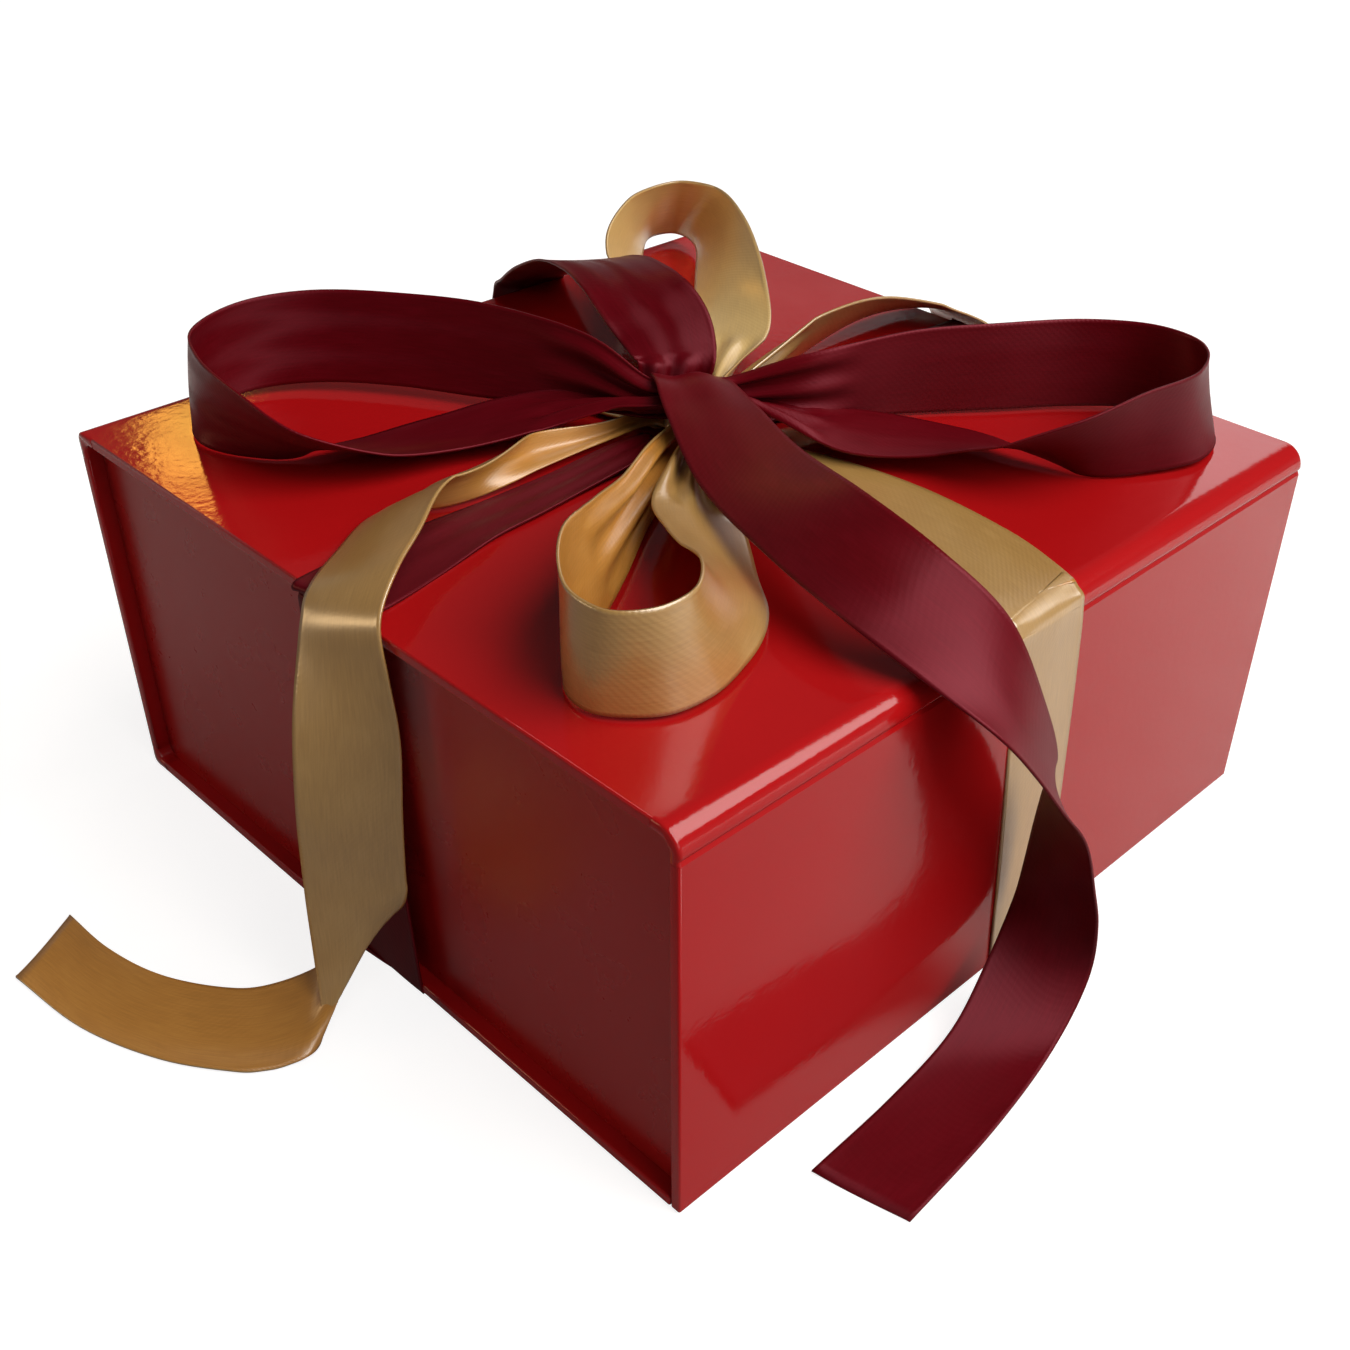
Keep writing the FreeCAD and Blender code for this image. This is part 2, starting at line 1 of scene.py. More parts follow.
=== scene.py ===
# %% [markdown]
# # A gift box tied with two satin ribbons
# A rigid box in glossy red paper opens like a book: a lid on a folded spine, and a flap in front.
# A gold and a burgundy ribbon run round it and end in one bow. The measured model gives the
# sizes and the hinges, and this lesson dresses it with paper, ribbon, light and a camera.

import json
import math

import bmesh
import bpy
import numpy as np
from mathutils import Matrix, Vector


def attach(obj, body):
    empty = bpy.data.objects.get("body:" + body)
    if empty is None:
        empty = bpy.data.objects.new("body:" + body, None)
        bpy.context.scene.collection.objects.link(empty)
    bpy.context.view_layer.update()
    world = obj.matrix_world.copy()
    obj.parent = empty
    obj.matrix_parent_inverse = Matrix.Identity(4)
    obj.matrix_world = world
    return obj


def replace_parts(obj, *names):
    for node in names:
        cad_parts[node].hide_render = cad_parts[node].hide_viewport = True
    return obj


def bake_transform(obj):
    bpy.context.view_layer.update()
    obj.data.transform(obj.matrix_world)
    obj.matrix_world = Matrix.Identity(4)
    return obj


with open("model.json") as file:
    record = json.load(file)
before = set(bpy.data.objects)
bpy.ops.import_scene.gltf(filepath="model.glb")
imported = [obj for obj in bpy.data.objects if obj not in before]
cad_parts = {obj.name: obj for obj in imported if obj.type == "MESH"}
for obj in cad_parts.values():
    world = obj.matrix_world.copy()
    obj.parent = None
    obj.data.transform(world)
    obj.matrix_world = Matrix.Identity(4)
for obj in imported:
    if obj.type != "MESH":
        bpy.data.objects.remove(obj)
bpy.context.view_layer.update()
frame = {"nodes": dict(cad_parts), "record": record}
MM = 0.001

# %% [markdown]
# ## Camera
# A product picture looks down on one corner of the box, so the lid and two sides show together.
# The camera could be aimed with a constraint, but a fitted picture also has a small roll and a
# shifted centre, so its axes are worked out from the azimuth, elevation and roll.

# %% Camera from azimuth, elevation and roll
CAMERA_PLACE = Vector((-0.28291, -0.29058, 0.31471))
CAMERA_AZIMUTH, CAMERA_ELEVATION, CAMERA_ROLL = (
    math.radians(angle) for angle in (-45.574, 35.937, 1.081))
SENSOR_MM, LENS_MM = 36.0, 43.056
SHIFT_X, SHIFT_Y = -0.03495, 0.03057
NEAREST_SEEN = 0.01


def camera_axes(azimuth, elevation, roll):
    """Right, up and backward directions of a camera that looks at the box."""
    back = Vector((math.sin(azimuth) * math.cos(elevation),
                   -math.cos(azimuth) * math.cos(elevation), math.sin(elevation)))
    right = (-back).cross(Vector((0, 0, 1))).normalized()
    up = right.cross(-back)
    rolled_right = right * math.cos(roll) + up * math.sin(roll)
    rolled_up = up * math.cos(roll) - right * math.sin(roll)
    return rolled_right, rolled_up, back


camera = bpy.data.objects.new("camera", bpy.data.cameras.new("camera"))
bpy.context.scene.collection.objects.link(camera)
turn = Matrix(camera_axes(CAMERA_AZIMUTH, CAMERA_ELEVATION, CAMERA_ROLL)).transposed().to_4x4()
camera.matrix_world = Matrix.Translation(CAMERA_PLACE) @ turn
camera.data.sensor_width, camera.data.lens = SENSOR_MM, LENS_MM
camera.data.shift_x, camera.data.shift_y = SHIFT_X, SHIFT_Y
camera.data.clip_start = NEAREST_SEEN
bpy.context.scene.camera = camera
bpy.context.scene.view_settings.view_transform = "Standard"
print("camera", tuple(round(v, 3) for v in camera.location), "lens", camera.data.lens)

# %% [markdown]
# ## Node helpers
# Every finish below is a small network of shader nodes. They could be laid out by hand in the
# shader editor, but a script can repeat them for each paper and ribbon. These helpers add a node,
# fill its sockets with values or links, and start a material with its main shader.

# %% Node helpers


def fill(tree, node, **sockets):
    """Puts values or links on a node's sockets; i0, i1 and so on are sockets by number."""
    for key, value in sockets.items():
        by_number = key[0] == "i" and key[1:].isdigit()
        socket = node.inputs[int(key[1:]) if by_number else key.replace("_", " ")]
        if isinstance(value, bpy.types.NodeSocket):
            tree.links.new(value, socket)
        else:
            socket.default_value = value


def add_node(tree, kind, settings=None, **sockets):
    """A new node of a kind, with settings on the node and values or links on its sockets."""
    node = tree.nodes.new(kind)
    for key, value in (settings or {}).items():
        setattr(node, key, value)
    fill(tree, node, **sockets)
    return node


def new_material(name):
    """A material with a principled shader; returns the material, its tree and the shader."""
    material = bpy.data.materials.new(name)
    material.use_nodes = True
    tree = material.node_tree
    return material, tree, tree.nodes["Principled BSDF"]


print("node helpers", fill.__name__, add_node.__name__, new_material.__name__)

# %% [markdown]
# ## Building blocks of a finish
# Most finishes are made of the same few steps: a noise over the surface, a sum, a change of
# range, a colour ramp and a fine relief. A node group could hold such steps as well. Plain
# functions are easier to read, and they leave every node open in the material.

# %% Sums, ranges, noise, ramp and relief


def maths(tree, operation, *values):
    """The result of a maths node on values or links."""
    sockets = {f"i{k}": value for k, value in enumerate(values)}
    return add_node(tree, "ShaderNodeMath", {"operation": operation}, **sockets).outputs[0]


def remap(tree, value, low, high, to_low, to_high):
    """A value carried over from one range to another."""
    node = add_node(tree, "ShaderNodeMapRange", Value=value, i1=low, i2=high, i3=to_low, i4=to_high)
    return node.outputs["Result"]


def between(tree, factor, first, second):
    """The first value where the factor is 0, and the second where it is 1."""
    node = add_node(tree, "ShaderNodeMix", {"data_type": "FLOAT"}, Factor=factor,
                    i2=first, i3=second)
    return node.outputs[0]


def surface_place(tree):
    """The place on the piece in metres, in its own axes."""
    return add_node(tree, "ShaderNodeTexCoord").outputs["Object"]


def noise(tree, place, scale, detail):
    """A cloudy noise, with its scale per metre and its detail."""
    node = add_node(tree, "ShaderNodeTexNoise", Vector=place, Scale=scale, Detail=detail)
    return node.outputs["Fac"]


def ramp(tree, factor, stops):
    """A colour ramp over a factor, from a list of (position, colour)."""
    node = add_node(tree, "ShaderNodeValToRGB", Fac=factor)
    elements = node.color_ramp.elements
    while len(elements) < len(stops):
        elements.new(0.5)
    for element, (position, colour) in zip(elements, stops):
        element.position = position
        element.color = (*colour, 1.0)
    return node.outputs["Color"]


def relief(tree, height, strength, distance):
    """The normal of a surface with a fine relief, its depth in metres."""
    node = add_node(tree, "ShaderNodeBump", Height=height, Strength=strength, Distance=distance)
    return node.outputs["Normal"]


print("finish helpers", [f.__name__ for f in (maths, remap, between, noise, ramp, relief)])

# %% [markdown]
# ## Red laminated paper
# The cover is red paper with a glossy film. Under a window the film shows a slightly wavy
# reflection, because paper glued on board is never quite flat. A photo texture would fix one
# light in it, so noises are used: a very fine relief gives that orange-peel look, and another
# noise moves the roughness so the gloss isn't even.

# %% Red laminated paper
NOISE_LOW, NOISE_HIGH = 0.3, 0.7
DRIFT, UNEVEN, PEEL, SWELL = (9.0, 3.0), (60.0, 4.0), (420.0, 2.0), (38.0, 1.0)
PEEL_SHARE, PAPER_DEPTH = 1.2, 0.0004


def red_paper(name, colour, deep, roughness, spread, bump):
    """Glossy or matt paper with a little colour drift, uneven gloss and a fine surface."""
    material, tree, shader = new_material(name)
    place = surface_place(tree)
    drift, uneven = noise(tree, place, *DRIFT), noise(tree, place, *UNEVEN)
    peel, swell = noise(tree, place, *PEEL), noise(tree, place, *SWELL)
    height = maths(tree, "MULTIPLY_ADD", peel, PEEL_SHARE, swell)
    fill(tree, shader,
         Base_Color=ramp(tree, drift, [(NOISE_LOW, deep), (NOISE_HIGH, colour)]),
         Roughness=remap(tree, uneven, NOISE_LOW, NOISE_HIGH,
                         roughness * (1 - spread), roughness * (1 + spread)),
         Normal=relief(tree, height, bump, PAPER_DEPTH))
    return material


GLOSS_RED = red_paper("gloss_red_paper", (0.43, 0.0065, 0.008), (0.39, 0.005, 0.006),
                      roughness=0.11, spread=0.25, bump=0.09)
TRAY_RED = red_paper("tray_red_paper", (0.38, 0.0055, 0.006), (0.35, 0.0045, 0.005),
                     roughness=0.28, spread=0.05, bump=0.0)
LINER_RED = red_paper("matt_red_liner", (0.30, 0.008, 0.010), (0.26, 0.006, 0.008),
                      roughness=0.55, spread=0.25, bump=0.12)
print("made", GLOSS_RED.name, TRAY_RED.name, LINER_RED.name)

# %% [markdown]
# ## Grey board and magnets
# Inside the paper are grey boards made of waste paper, with dark and light fibres, and small
# plated magnets. They hardly show, and one flat colour would do for most pictures. But the lid
# opens, so they get their own finishes too.

# %% Grey board and magnet plating
FIBRE, BRUSHING = (700.0, 5.0), (900.0, 2.0)
DARK_FIBRE, PALE_FIBRE = (0.30, 0.28, 0.26), (0.48, 0.46, 0.43)


def grey_board():
    """Matt board with dark and light fibres."""
    material, tree, shader = new_material("grey_board")
    fibre = noise(tree, surface_place(tree), *FIBRE)
    fill(tree, shader, Roughness=0.9,
         Base_Color=ramp(tree, fibre, [(NOISE_LOW, DARK_FIBRE), (NOISE_HIGH, PALE_FIBRE)]),
         Normal=relief(tree, fibre, strength=0.4, distance=0.0003))
    return material


def magnet_plating():
    """Bright plating with a slightly uneven gloss."""
    material, tree, shader = new_material("magnet_plating")
    brushing = noise(tree, surface_place(tree), *BRUSHING)
    fill(tree, shader, Base_Color=(0.62, 0.62, 0.63, 1), Metallic=1.0,
         Roughness=remap(tree, brushing, 0.0, 1.0, 0.18, 0.34))
    return material


GREY_BOARD, MAGNET = grey_board(), magnet_plating()
print("made", GREY_BOARD.name, MAGNET.name)

# %% [markdown]
# ## Satin ribbon
# Satin shines because long threads float over the surface in one direction. Close up there are
# fine slanted ribs over the ribbon and a beaded selvedge along each edge. The mesh carries a
# texture map with the width from 0 to 1 and the length in ribbon widths, so ribs and selvedges
# can be drawn from it. The shine could be a plain gloss, but an anisotropic shader, whose tangent
# follows that map, stretches it as the threads do.

# %% Weave of the satin
TURN = 2 * math.pi
RIB_COUNT, RIB_SLANT, RIB_HEIGHT = 13.0, 1.0, 0.45
BEAD_COUNT = 20.0
WEAVE_DEPTH = 0.00008


def weave_normal(tree, across, along, thread, selvedge, strength):
    """The relief of satin: slanted ribs and threads, and beads along the selvedge."""
    slant = maths(tree, "MULTIPLY_ADD", across, RIB_SLANT, along)
    rib = maths(tree, "SINE", maths(tree, "MULTIPLY", slant, RIB_COUNT * TURN))
    weave = maths(tree, "MULTIPLY_ADD", rib, RIB_HEIGHT, thread)
    bead = maths(tree, "SINE", maths(tree, "MULTIPLY", along, BEAD_COUNT * TURN))
    return relief(tree, between(tree, selvedge, weave, bead), strength, WEAVE_DEPTH)


print("weave", RIB_COUNT, "ribs and", BEAD_COUNT, "beads to a ribbon width")

# %% Satin finish
THREAD_STRETCH = (60.0, 3.0, 1.0)
THREAD, CLOUD = (1.0, 4.0), (1.6, 2.0)
CLOUD_SHARE, MIX_LEVEL = 0.5, 0.667
SELVEDGE_FROM, SELVEDGE_FULL = 0.455, 0.475


def satin(name, deep, middle, light, roughness, shine, shine_tint, coat, weave_strength):
    """Woven satin: slanted ribs, a selvedge along both edges and a directional shine."""
    material, tree, shader = new_material(name)
    uv = add_node(tree, "ShaderNodeUVMap", {"uv_map": "ribbon"}).outputs["UV"]
    split = add_node(tree, "ShaderNodeSeparateXYZ", Vector=uv)
    across, along = split.outputs["X"], split.outputs["Y"]
    cloth = add_node(tree, "ShaderNodeCombineXYZ", X=across, Y=along).outputs[0]
    streaks = add_node(tree, "ShaderNodeMapping", Vector=cloth, Scale=THREAD_STRETCH).outputs[0]
    thread, cloud = noise(tree, streaks, *THREAD), noise(tree, cloth, *CLOUD)
    mix = maths(tree, "MULTIPLY_ADD", cloud, CLOUD_SHARE, thread)
    tint = ramp(tree, maths(tree, "MULTIPLY", mix, MIX_LEVEL),
                [(0.25, deep), (0.5, middle), (0.75, light)])
    edge = maths(tree, "ABSOLUTE", maths(tree, "SUBTRACT", across, 0.5))
    selvedge = remap(tree, edge, SELVEDGE_FROM, SELVEDGE_FULL, 0.0, 1.0)
    edged = add_node(tree, "ShaderNodeMixRGB", {"blend_type": "MIX"}, Fac=selvedge,
                     Color1=tint, Color2=(*middle, 1.0))
    tangent = add_node(tree, "ShaderNodeTangent", {"direction_type": "UV_MAP", "uv_map": "ribbon"})
    fill(tree, shader, Base_Color=edged.outputs[0], Tangent=tangent.outputs[0],
         Normal=weave_normal(tree, across, along, thread, selvedge, weave_strength),
         Roughness=roughness, Anisotropic=0.8,
         Specular_IOR_Level=shine, Specular_Tint=(*shine_tint, 1.0),
         Coat_Weight=coat, Coat_Roughness=0.30, Coat_IOR=1.9)
    return material


print("selvedge from", SELVEDGE_FROM, "of the width, on both sides of the middle")

# %% [markdown]
# ## Gold and burgundy
# The gold ribbon is pale on its face and warmer on its back, partly its own tone and partly
# painted warm light. The burgundy one is darker on its back. One material that tells front from
# back could do both, but the ribbon below has a real thickness, so each side simply takes its own
# finish. A lighter gold, a painted light, is for the back of the rear loop, so that it looks
# almost cream.

# %% Gold and burgundy
GOLD_SHEEN = {"shine": 1.0, "shine_tint": (1.0, 0.94, 0.80), "weave_strength": 0.25}
WINE_SHEEN = {"coat": 0.0, "shine_tint": (1.0, 0.28, 0.36), "weave_strength": 0.12}
GOLD_PALE = satin("pale_gold_satin", (0.37, 0.197, 0.050), (0.45, 0.252, 0.069),
                  (0.53, 0.316, 0.100), roughness=0.30, coat=1.0, **GOLD_SHEEN)
# Warm gold for the ribbon's back: partly its own tone, partly painted warm light.
GOLD_REVERSE_AND_WARM_LIGHT = satin("gold_reverse_and_painted_warm_light_satin", (0.40, 0.172, 0.026), (0.50, 0.220, 0.037),
                  (0.58, 0.285, 0.058), roughness=0.33, coat=0.45, **GOLD_SHEEN)
# Lighter gold with painted light on it, for the back of the rear loop.
GOLD_PAINTED_LIGHT = satin("painted_light_gold_satin", (0.56, 0.36, 0.125), (0.66, 0.44, 0.155),
                   (0.74, 0.52, 0.200), roughness=0.33, coat=1.0, **GOLD_SHEEN)
BURGUNDY = satin("burgundy_satin", (0.088, 0.0010, 0.0030), (0.116, 0.0016, 0.0050),
                 (0.145, 0.0030, 0.0085), roughness=0.40, shine=0.55, **WINE_SHEEN)
BURGUNDY_BACK = satin("burgundy_satin_back", (0.070, 0.0008, 0.0025), (0.095, 0.0013, 0.0042),
                      (0.120, 0.0025, 0.0070), roughness=0.44, shine=0.45, **WINE_SHEEN)
print("made", GOLD_PALE.name, GOLD_REVERSE_AND_WARM_LIGHT.name, GOLD_PAINTED_LIGHT.name, BURGUNDY.name, BURGUNDY_BACK.name)

# %% [markdown]
# ## Finishes on the measured pieces
# The boards, liners, tray and magnets already have their right shape in the measured model, so
# they only need a finish. A slot name in the record says which one each piece takes. The tray is
# the exception: its paper turns in over the rim, so what shows of its walls is red as well.

# %% Give the measured pieces their finishes
FINISH = {"red_paper": GLOSS_RED, "liner_paper": LINER_RED, "grey_board": GREY_BOARD,
          "gold_satin": GOLD_PALE, "burgundy_satin": BURGUNDY, "magnet_steel": MAGNET}
TRAY_SKIN = ("tray_wrap", "tray_front_wall", "tray_back_wall", "tray_left_wall",
             "tray_right_wall")
measured = frame["record"]["subparts"]
for part in measured:
    finish = TRAY_RED if part["node"] in TRAY_SKIN else FINISH[part["material_slot"]]
    node = frame["nodes"][part["node"]]
    node.data.materials.clear()
    node.data.materials.append(finish)
print("finished", len(measured), "measured pieces")

# %% [markdown]
# ## Cover panels
# Lid, flap, spine and base are boards wrapped in one sheet of paper, so their free edges are
# softly rounded while the edges that meet a fold stay square. A cube is scaled to each panel, and
# only its free edges are bevelled: a bevel modifier would round the fold edges as well.

# %% Sizes of the cover
HALF_W, HALF_D, BOX_H = 120.0, 120.0, 115.0
PANEL, FOLD_R, FOLD_GAP = 3.0, 6.0, 2.0
RIBBON_T = 0.4
AXIS_Y, AXIS_Z = HALF_D - FOLD_R, BOX_H - FOLD_R
FOOT_Z = RIBBON_T + FOLD_R  # the box stands on the ribbons under it
FLAP_FOOT, BASE_FRONT = 0.6, -116.7
print("cover", 2 * HALF_W, "x", 2 * HALF_D, "x", BOX_H, "mm")

# %% A panel with rounded free edges
EDGE_R, EDGE_STEPS = 0.6, 5
FLAT_AREA = 2e-4  # faces above this, in square metres, are the flats of a panel


def add_object(name, mesh, *materials):
    """A new object in the scene with these materials, shaded smooth."""
    obj = bpy.data.objects.new(name, mesh)
    bpy.context.scene.collection.objects.link(obj)
    for material in materials:
        mesh.materials.append(material)
    for polygon in mesh.polygons:
        polygon.use_smooth = True
    return obj


def panel(name, low, high, is_free, *nodes):
    """A slab between two corners in mm; the edges whose middle passes is_free are rounded."""
    low, high = Vector(low) * MM, Vector(high) * MM
    work = bmesh.new()
    bmesh.ops.create_cube(work, size=1.0)
    for vert in work.verts:
        vert.co = Vector(tuple(a + (c + 0.5) * (b - a) for a, b, c in zip(low, high, vert.co)))
    chosen = [e for e in work.edges if is_free((e.verts[0].co + e.verts[1].co) / 2 / MM)]
    bmesh.ops.bevel(work, geom=chosen, offset=EDGE_R * MM, segments=EDGE_STEPS, profile=0.5,
                    affect="EDGES")
    mesh = bpy.data.meshes.new(name)
    work.to_mesh(mesh)
    work.free()
    obj = add_object(name, mesh, GLOSS_RED)
    for polygon in mesh.polygons:
        polygon.use_smooth = polygon.area < FLAT_AREA
    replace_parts(obj, *nodes)
    return obj


print("free edges rounded by", EDGE_R, "mm in", EDGE_STEPS, "steps")

# %% Cover panels
NEAR = 1.0


def at_side(middle):
    """Whether an edge with this middle lies on the left or right side of the box."""
    return abs(middle.x) > HALF_W - NEAR


lid_cover = panel("lid_cover", (-HALF_W, -AXIS_Y + FOLD_GAP, BOX_H - PANEL),
                  (HALF_W, AXIS_Y - FOLD_GAP, BOX_H), at_side, "lid_wrap")
flap_cover = panel("flap_cover", (-HALF_W, -HALF_D, FLAP_FOOT),
                   (HALF_W, PANEL - HALF_D, AXIS_Z - FOLD_GAP),
                   lambda m: at_side(m) or m.z < FLAP_FOOT + NEAR, "flap_wrap")
spine_cover = panel("spine_cover", (-HALF_W, HALF_D - PANEL, FOOT_Z),
                    (HALF_W, HALF_D, AXIS_Z - FOLD_GAP), at_side, "spine_wrap")
base_cover = panel("base_cover", (-HALF_W, BASE_FRONT, RIBBON_T),
                   (HALF_W, AXIS_Y, RIBBON_T + PANEL),
                   lambda m: at_side(m) or m.y < BASE_FRONT + NEAR, "base_wrap")
for piece, body in ((lid_cover, "lid"), (flap_cover, "flap"),
                    (spine_cover, "box"), (base_cover, "box")):
    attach(piece, body)
    print(piece.name, "on", body, "with", len(piece.data.polygons), "faces")

# %% [markdown]
# ## Paper folds
# Between two boards the paper rolls round. In front it makes a soft bead and dips into a thin
# crease where the flap starts, and at the back it is pressed to a crisp corner. A curve with a
# bevel object could be used, but its ends would be cut square. So each fold is drawn in the Y-Z
# plane and swept along X with rounded ends.

# %% Outline of a fold
FOLD_STEPS = 20
CREASE_DEPTH = 0.5
SOFT, CRISP = 2.0, 6.0


def corner(angle, squareness):
    """A point of a rounded corner of radius 1: a circle at 2, closer to a square above it."""
    return abs(math.cos(angle)) ** (2 / squareness), abs(math.sin(angle)) ** (2 / squareness)


def fold_profile(side, up, creased, squareness):
    """Outer and inner outline of a fold about its axis, from the upright board to the flat one."""
    outer, inner = [], []
    inner_r = FOLD_R - PANEL
    for share in (1.0, 0.75, 0.5, 0.25):
        dip = CREASE_DEPTH * math.sin(math.pi * share) ** 2 if creased else 0.0
        outer.append((side * (FOLD_R - dip), -up * FOLD_GAP * share))
        inner.append((side * inner_r, -up * FOLD_GAP * share))
    for step in range(FOLD_STEPS + 1):
        angle = math.pi / 2 * step / FOLD_STEPS
        y, z = corner(angle, squareness)
        outer.append((side * FOLD_R * y, up * FOLD_R * z))
        inner.append((side * inner_r * math.cos(angle), up * inner_r * math.sin(angle)))
    for share in (0.5, 1.0):
        outer.append((-side * FOLD_GAP * share, up * FOLD_R))
        inner.append((-side * FOLD_GAP * share, up * inner_r))
    return outer, inner


print("fold outline", len(fold_profile(1, 1, False, CRISP)[0]), "points")

# %% Sweep of a fold
# Rings near each end: the distance from the end, and how far the outline is drawn in there.
END_RINGS = ((0.0, EDGE_R), (0.25, 0.2), (EDGE_R, 0.0), (2 * EDGE_R, 0.0))
SHARP_ANGLE = math.radians(45)


def ring_faces(rings, count):
    """Four-sided faces between neighbouring rings that have the same count of points."""
    faces = []
    for here in range(0, (rings - 1) * count, count):
        there = here + count
        for k in range(count):
            n = (k + 1) % count
            faces.append((here + k, here + n, there + n, there + k))
    return faces


def fold(name, side, up, axis_z, creased, squareness, *nodes):
    """A fold swept from one side of the box to the other, with rounded ends."""
    outer, inner = fold_profile(side, up, creased, squareness)
    loop = outer + inner[::-1]
    middle = [((a[0] + b[0]) / 2, (a[1] + b[1]) / 2) for a, b in zip(outer, inner)]
    middle = middle + middle[::-1]
    end = [(HALF_W - inset, shrink) for inset, shrink in END_RINGS]
    stations = [(-x, shrink) for x, shrink in end] + end[::-1]
    verts = []
    for x, shrink in stations:
        for (y, z), (my, mz) in zip(loop, middle):
            keep = 1 - shrink / math.hypot(y - my, z - mz)
            verts.append((x * MM, (side * AXIS_Y + my + (y - my) * keep) * MM,
                          (axis_z + mz + (z - mz) * keep) * MM))
    count = len(loop)
    caps = [tuple(range(count)), tuple(range(len(verts) - count, len(verts)))]
    mesh = bpy.data.meshes.new(name)
    mesh.from_pydata(verts, [], caps + ring_faces(len(stations), count))
    work = bmesh.new()
    work.from_mesh(mesh)
    bmesh.ops.recalc_face_normals(work, faces=work.faces)
    work.to_mesh(mesh)
    work.free()
    obj = add_object(name, mesh, GLOSS_RED)
    mesh.set_sharp_from_angle(angle=SHARP_ANGLE)
    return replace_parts(obj, *nodes)


print("fold ends drawn in by", EDGE_R, "mm")

# %% Paper folds
spine_fold = fold("spine_fold", 1, 1, AXIS_Z, False, CRISP, "spine_fold_paper")
flap_fold = fold("flap_fold", -1, 1, AXIS_Z, True, SOFT, "flap_fold_paper")
base_fold = fold("base_fold", 1, -1, FOOT_Z, False, CRISP, "base_fold_paper")
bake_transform(spine_fold)
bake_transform(flap_fold)
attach(base_fold, "box")
print("folds", [len(f.data.vertices) for f in (spine_fold, flap_fold, base_fold)])

# %% [markdown]
# ## Ribbon maker
# A ribbon is a flat strip that bends and twists but hardly stretches. A curve with a flat bevel
# could draw it, but its twist is hard to steer. Here each run is a list of stations: the middle
# of the ribbon and the direction across it. With a seventh number the direction is squared to the
# run and takes that share of the width; without it the direction stays slanted as given, so the
# ribbon can roll over at an angle.

# %% Smooth rows between stations
RIBBON_W = 26.0
COLUMNS = 24


def smooth_rows(rows, steps):
    """Rows of numbers with smooth rows put between them, spaced by the distance of the centres."""
    rows = np.array(rows, float)
    chord = np.linalg.norm(np.diff(rows[:, :3], axis=0), axis=1)
    place = np.concatenate([[0.0], np.cumsum(np.sqrt(chord))])
    ahead = np.minimum(np.arange(len(rows)) + 1, len(rows) - 1)
    behind = np.maximum(np.arange(len(rows)) - 1, 0)
    slope = (rows[ahead] - rows[behind]) / (place[ahead] - place[behind])[:, None]
    t = np.linspace(0, 1, steps, endpoint=False)[:, None]
    leave, arrive = 2 * t**3 - 3 * t**2 + 1, 3 * t**2 - 2 * t**3
    lean_out, lean_in = t**3 - 2 * t**2 + t, t**3 - t**2
    out = []
    for i in range(len(rows) - 1):
        run = place[i + 1] - place[i]
        out.append(leave * rows[i] + lean_out * run * slope[i]
                   + arrive * rows[i + 1] + lean_in * run * slope[i + 1])
    return np.vstack(out + [rows[-1:]])


def unit(vectors):
    """The same directions with a length of 1."""
    return vectors / np.linalg.norm(vectors, axis=1, keepdims=True)


print("ribbon", RIBBON_W, "mm wide,", COLUMNS, "columns across")

# %% [markdown]
# ## Pleats, crown and waver
# Where the knot gathers a ribbon it goes into pleats, so that the cloth keeps about its full
# width. They could be sculpted one by one, but a wave across the ribbon that gets steeper as the
# ribbon gets narrower does the same for every run. A slight crown across the ribbon and a slow
# waver of its edges keep the rest from looking like sheet metal.

# %% Ribbon surface
PLEATS = 2.5
SLACK = 1.1  # pleats start where the width is gathered by more than this
LEAST_SHARE = 0.2
WAVER, WAVER_RATE = 0.25, 2.1


def ribbon_frame(rows, steps):
    """Middle of a ribbon, its across vectors, face directions and gathered share, row by row."""
    squared = len(rows[0]) == 7
    rows = smooth_rows(rows, steps)
    centre, across = rows[:, :3], rows[:, 3:6]
    along = unit(np.gradient(centre, axis=0))
    if squared:
        across = unit(across - along * np.sum(along * across, axis=1, keepdims=True))
        across = across * RIBBON_W * rows[:, 6:7]
    share = np.linalg.norm(across, axis=1) / RIBBON_W
    return centre, across, unit(np.cross(along, across)), np.clip(share, LEAST_SHARE, 1.0)


def ribbon_surface(rows, steps, crown, phase, pleats, depth):
    """Points over the ribbon, rows by columns, with pleats where it is gathered."""
    centre, across, face, share = ribbon_frame(rows, steps)
    u = np.linspace(-0.5, 0.5, COLUMNS + 1)
    steep = depth * np.sqrt(4 * np.maximum(1 / share - SLACK, 0))
    swing = RIBBON_W * share * steep / (TURN * pleats)
    pleat = swing[:, None] * np.sin(TURN * pleats * u[None, :] + phase)
    bow = crown * share[:, None] * (1 - (2 * u[None, :]) ** 2)
    rows_run = np.arange(len(centre))[:, None] / steps
    waver = WAVER * np.sin(WAVER_RATE * rows_run + phase) * (2 * u[None, :]) ** 3
    return (centre[:, None, :] + across[:, None, :] * u[None, :, None]
            + face[:, None, :] * (pleat + bow + waver)[:, :, None])


print("pleats", PLEATS, "to a gathered width, edges waver by", WAVER, "mm")

# %% [markdown]
# ## Ribbon mesh
# A single sheet has no edge to catch the light, so the ribbon gets a real thickness. A solidify
# modifier could add it, but building both faces and the rim here also gives a thicker selvedge,
# the texture map that the satin needs, and a finish of its own for each side.

# %% Two faces and a rim
SELVEDGE_AT = 0.46
SELVEDGE_HALF, CLOTH_HALF = 0.8, 0.5


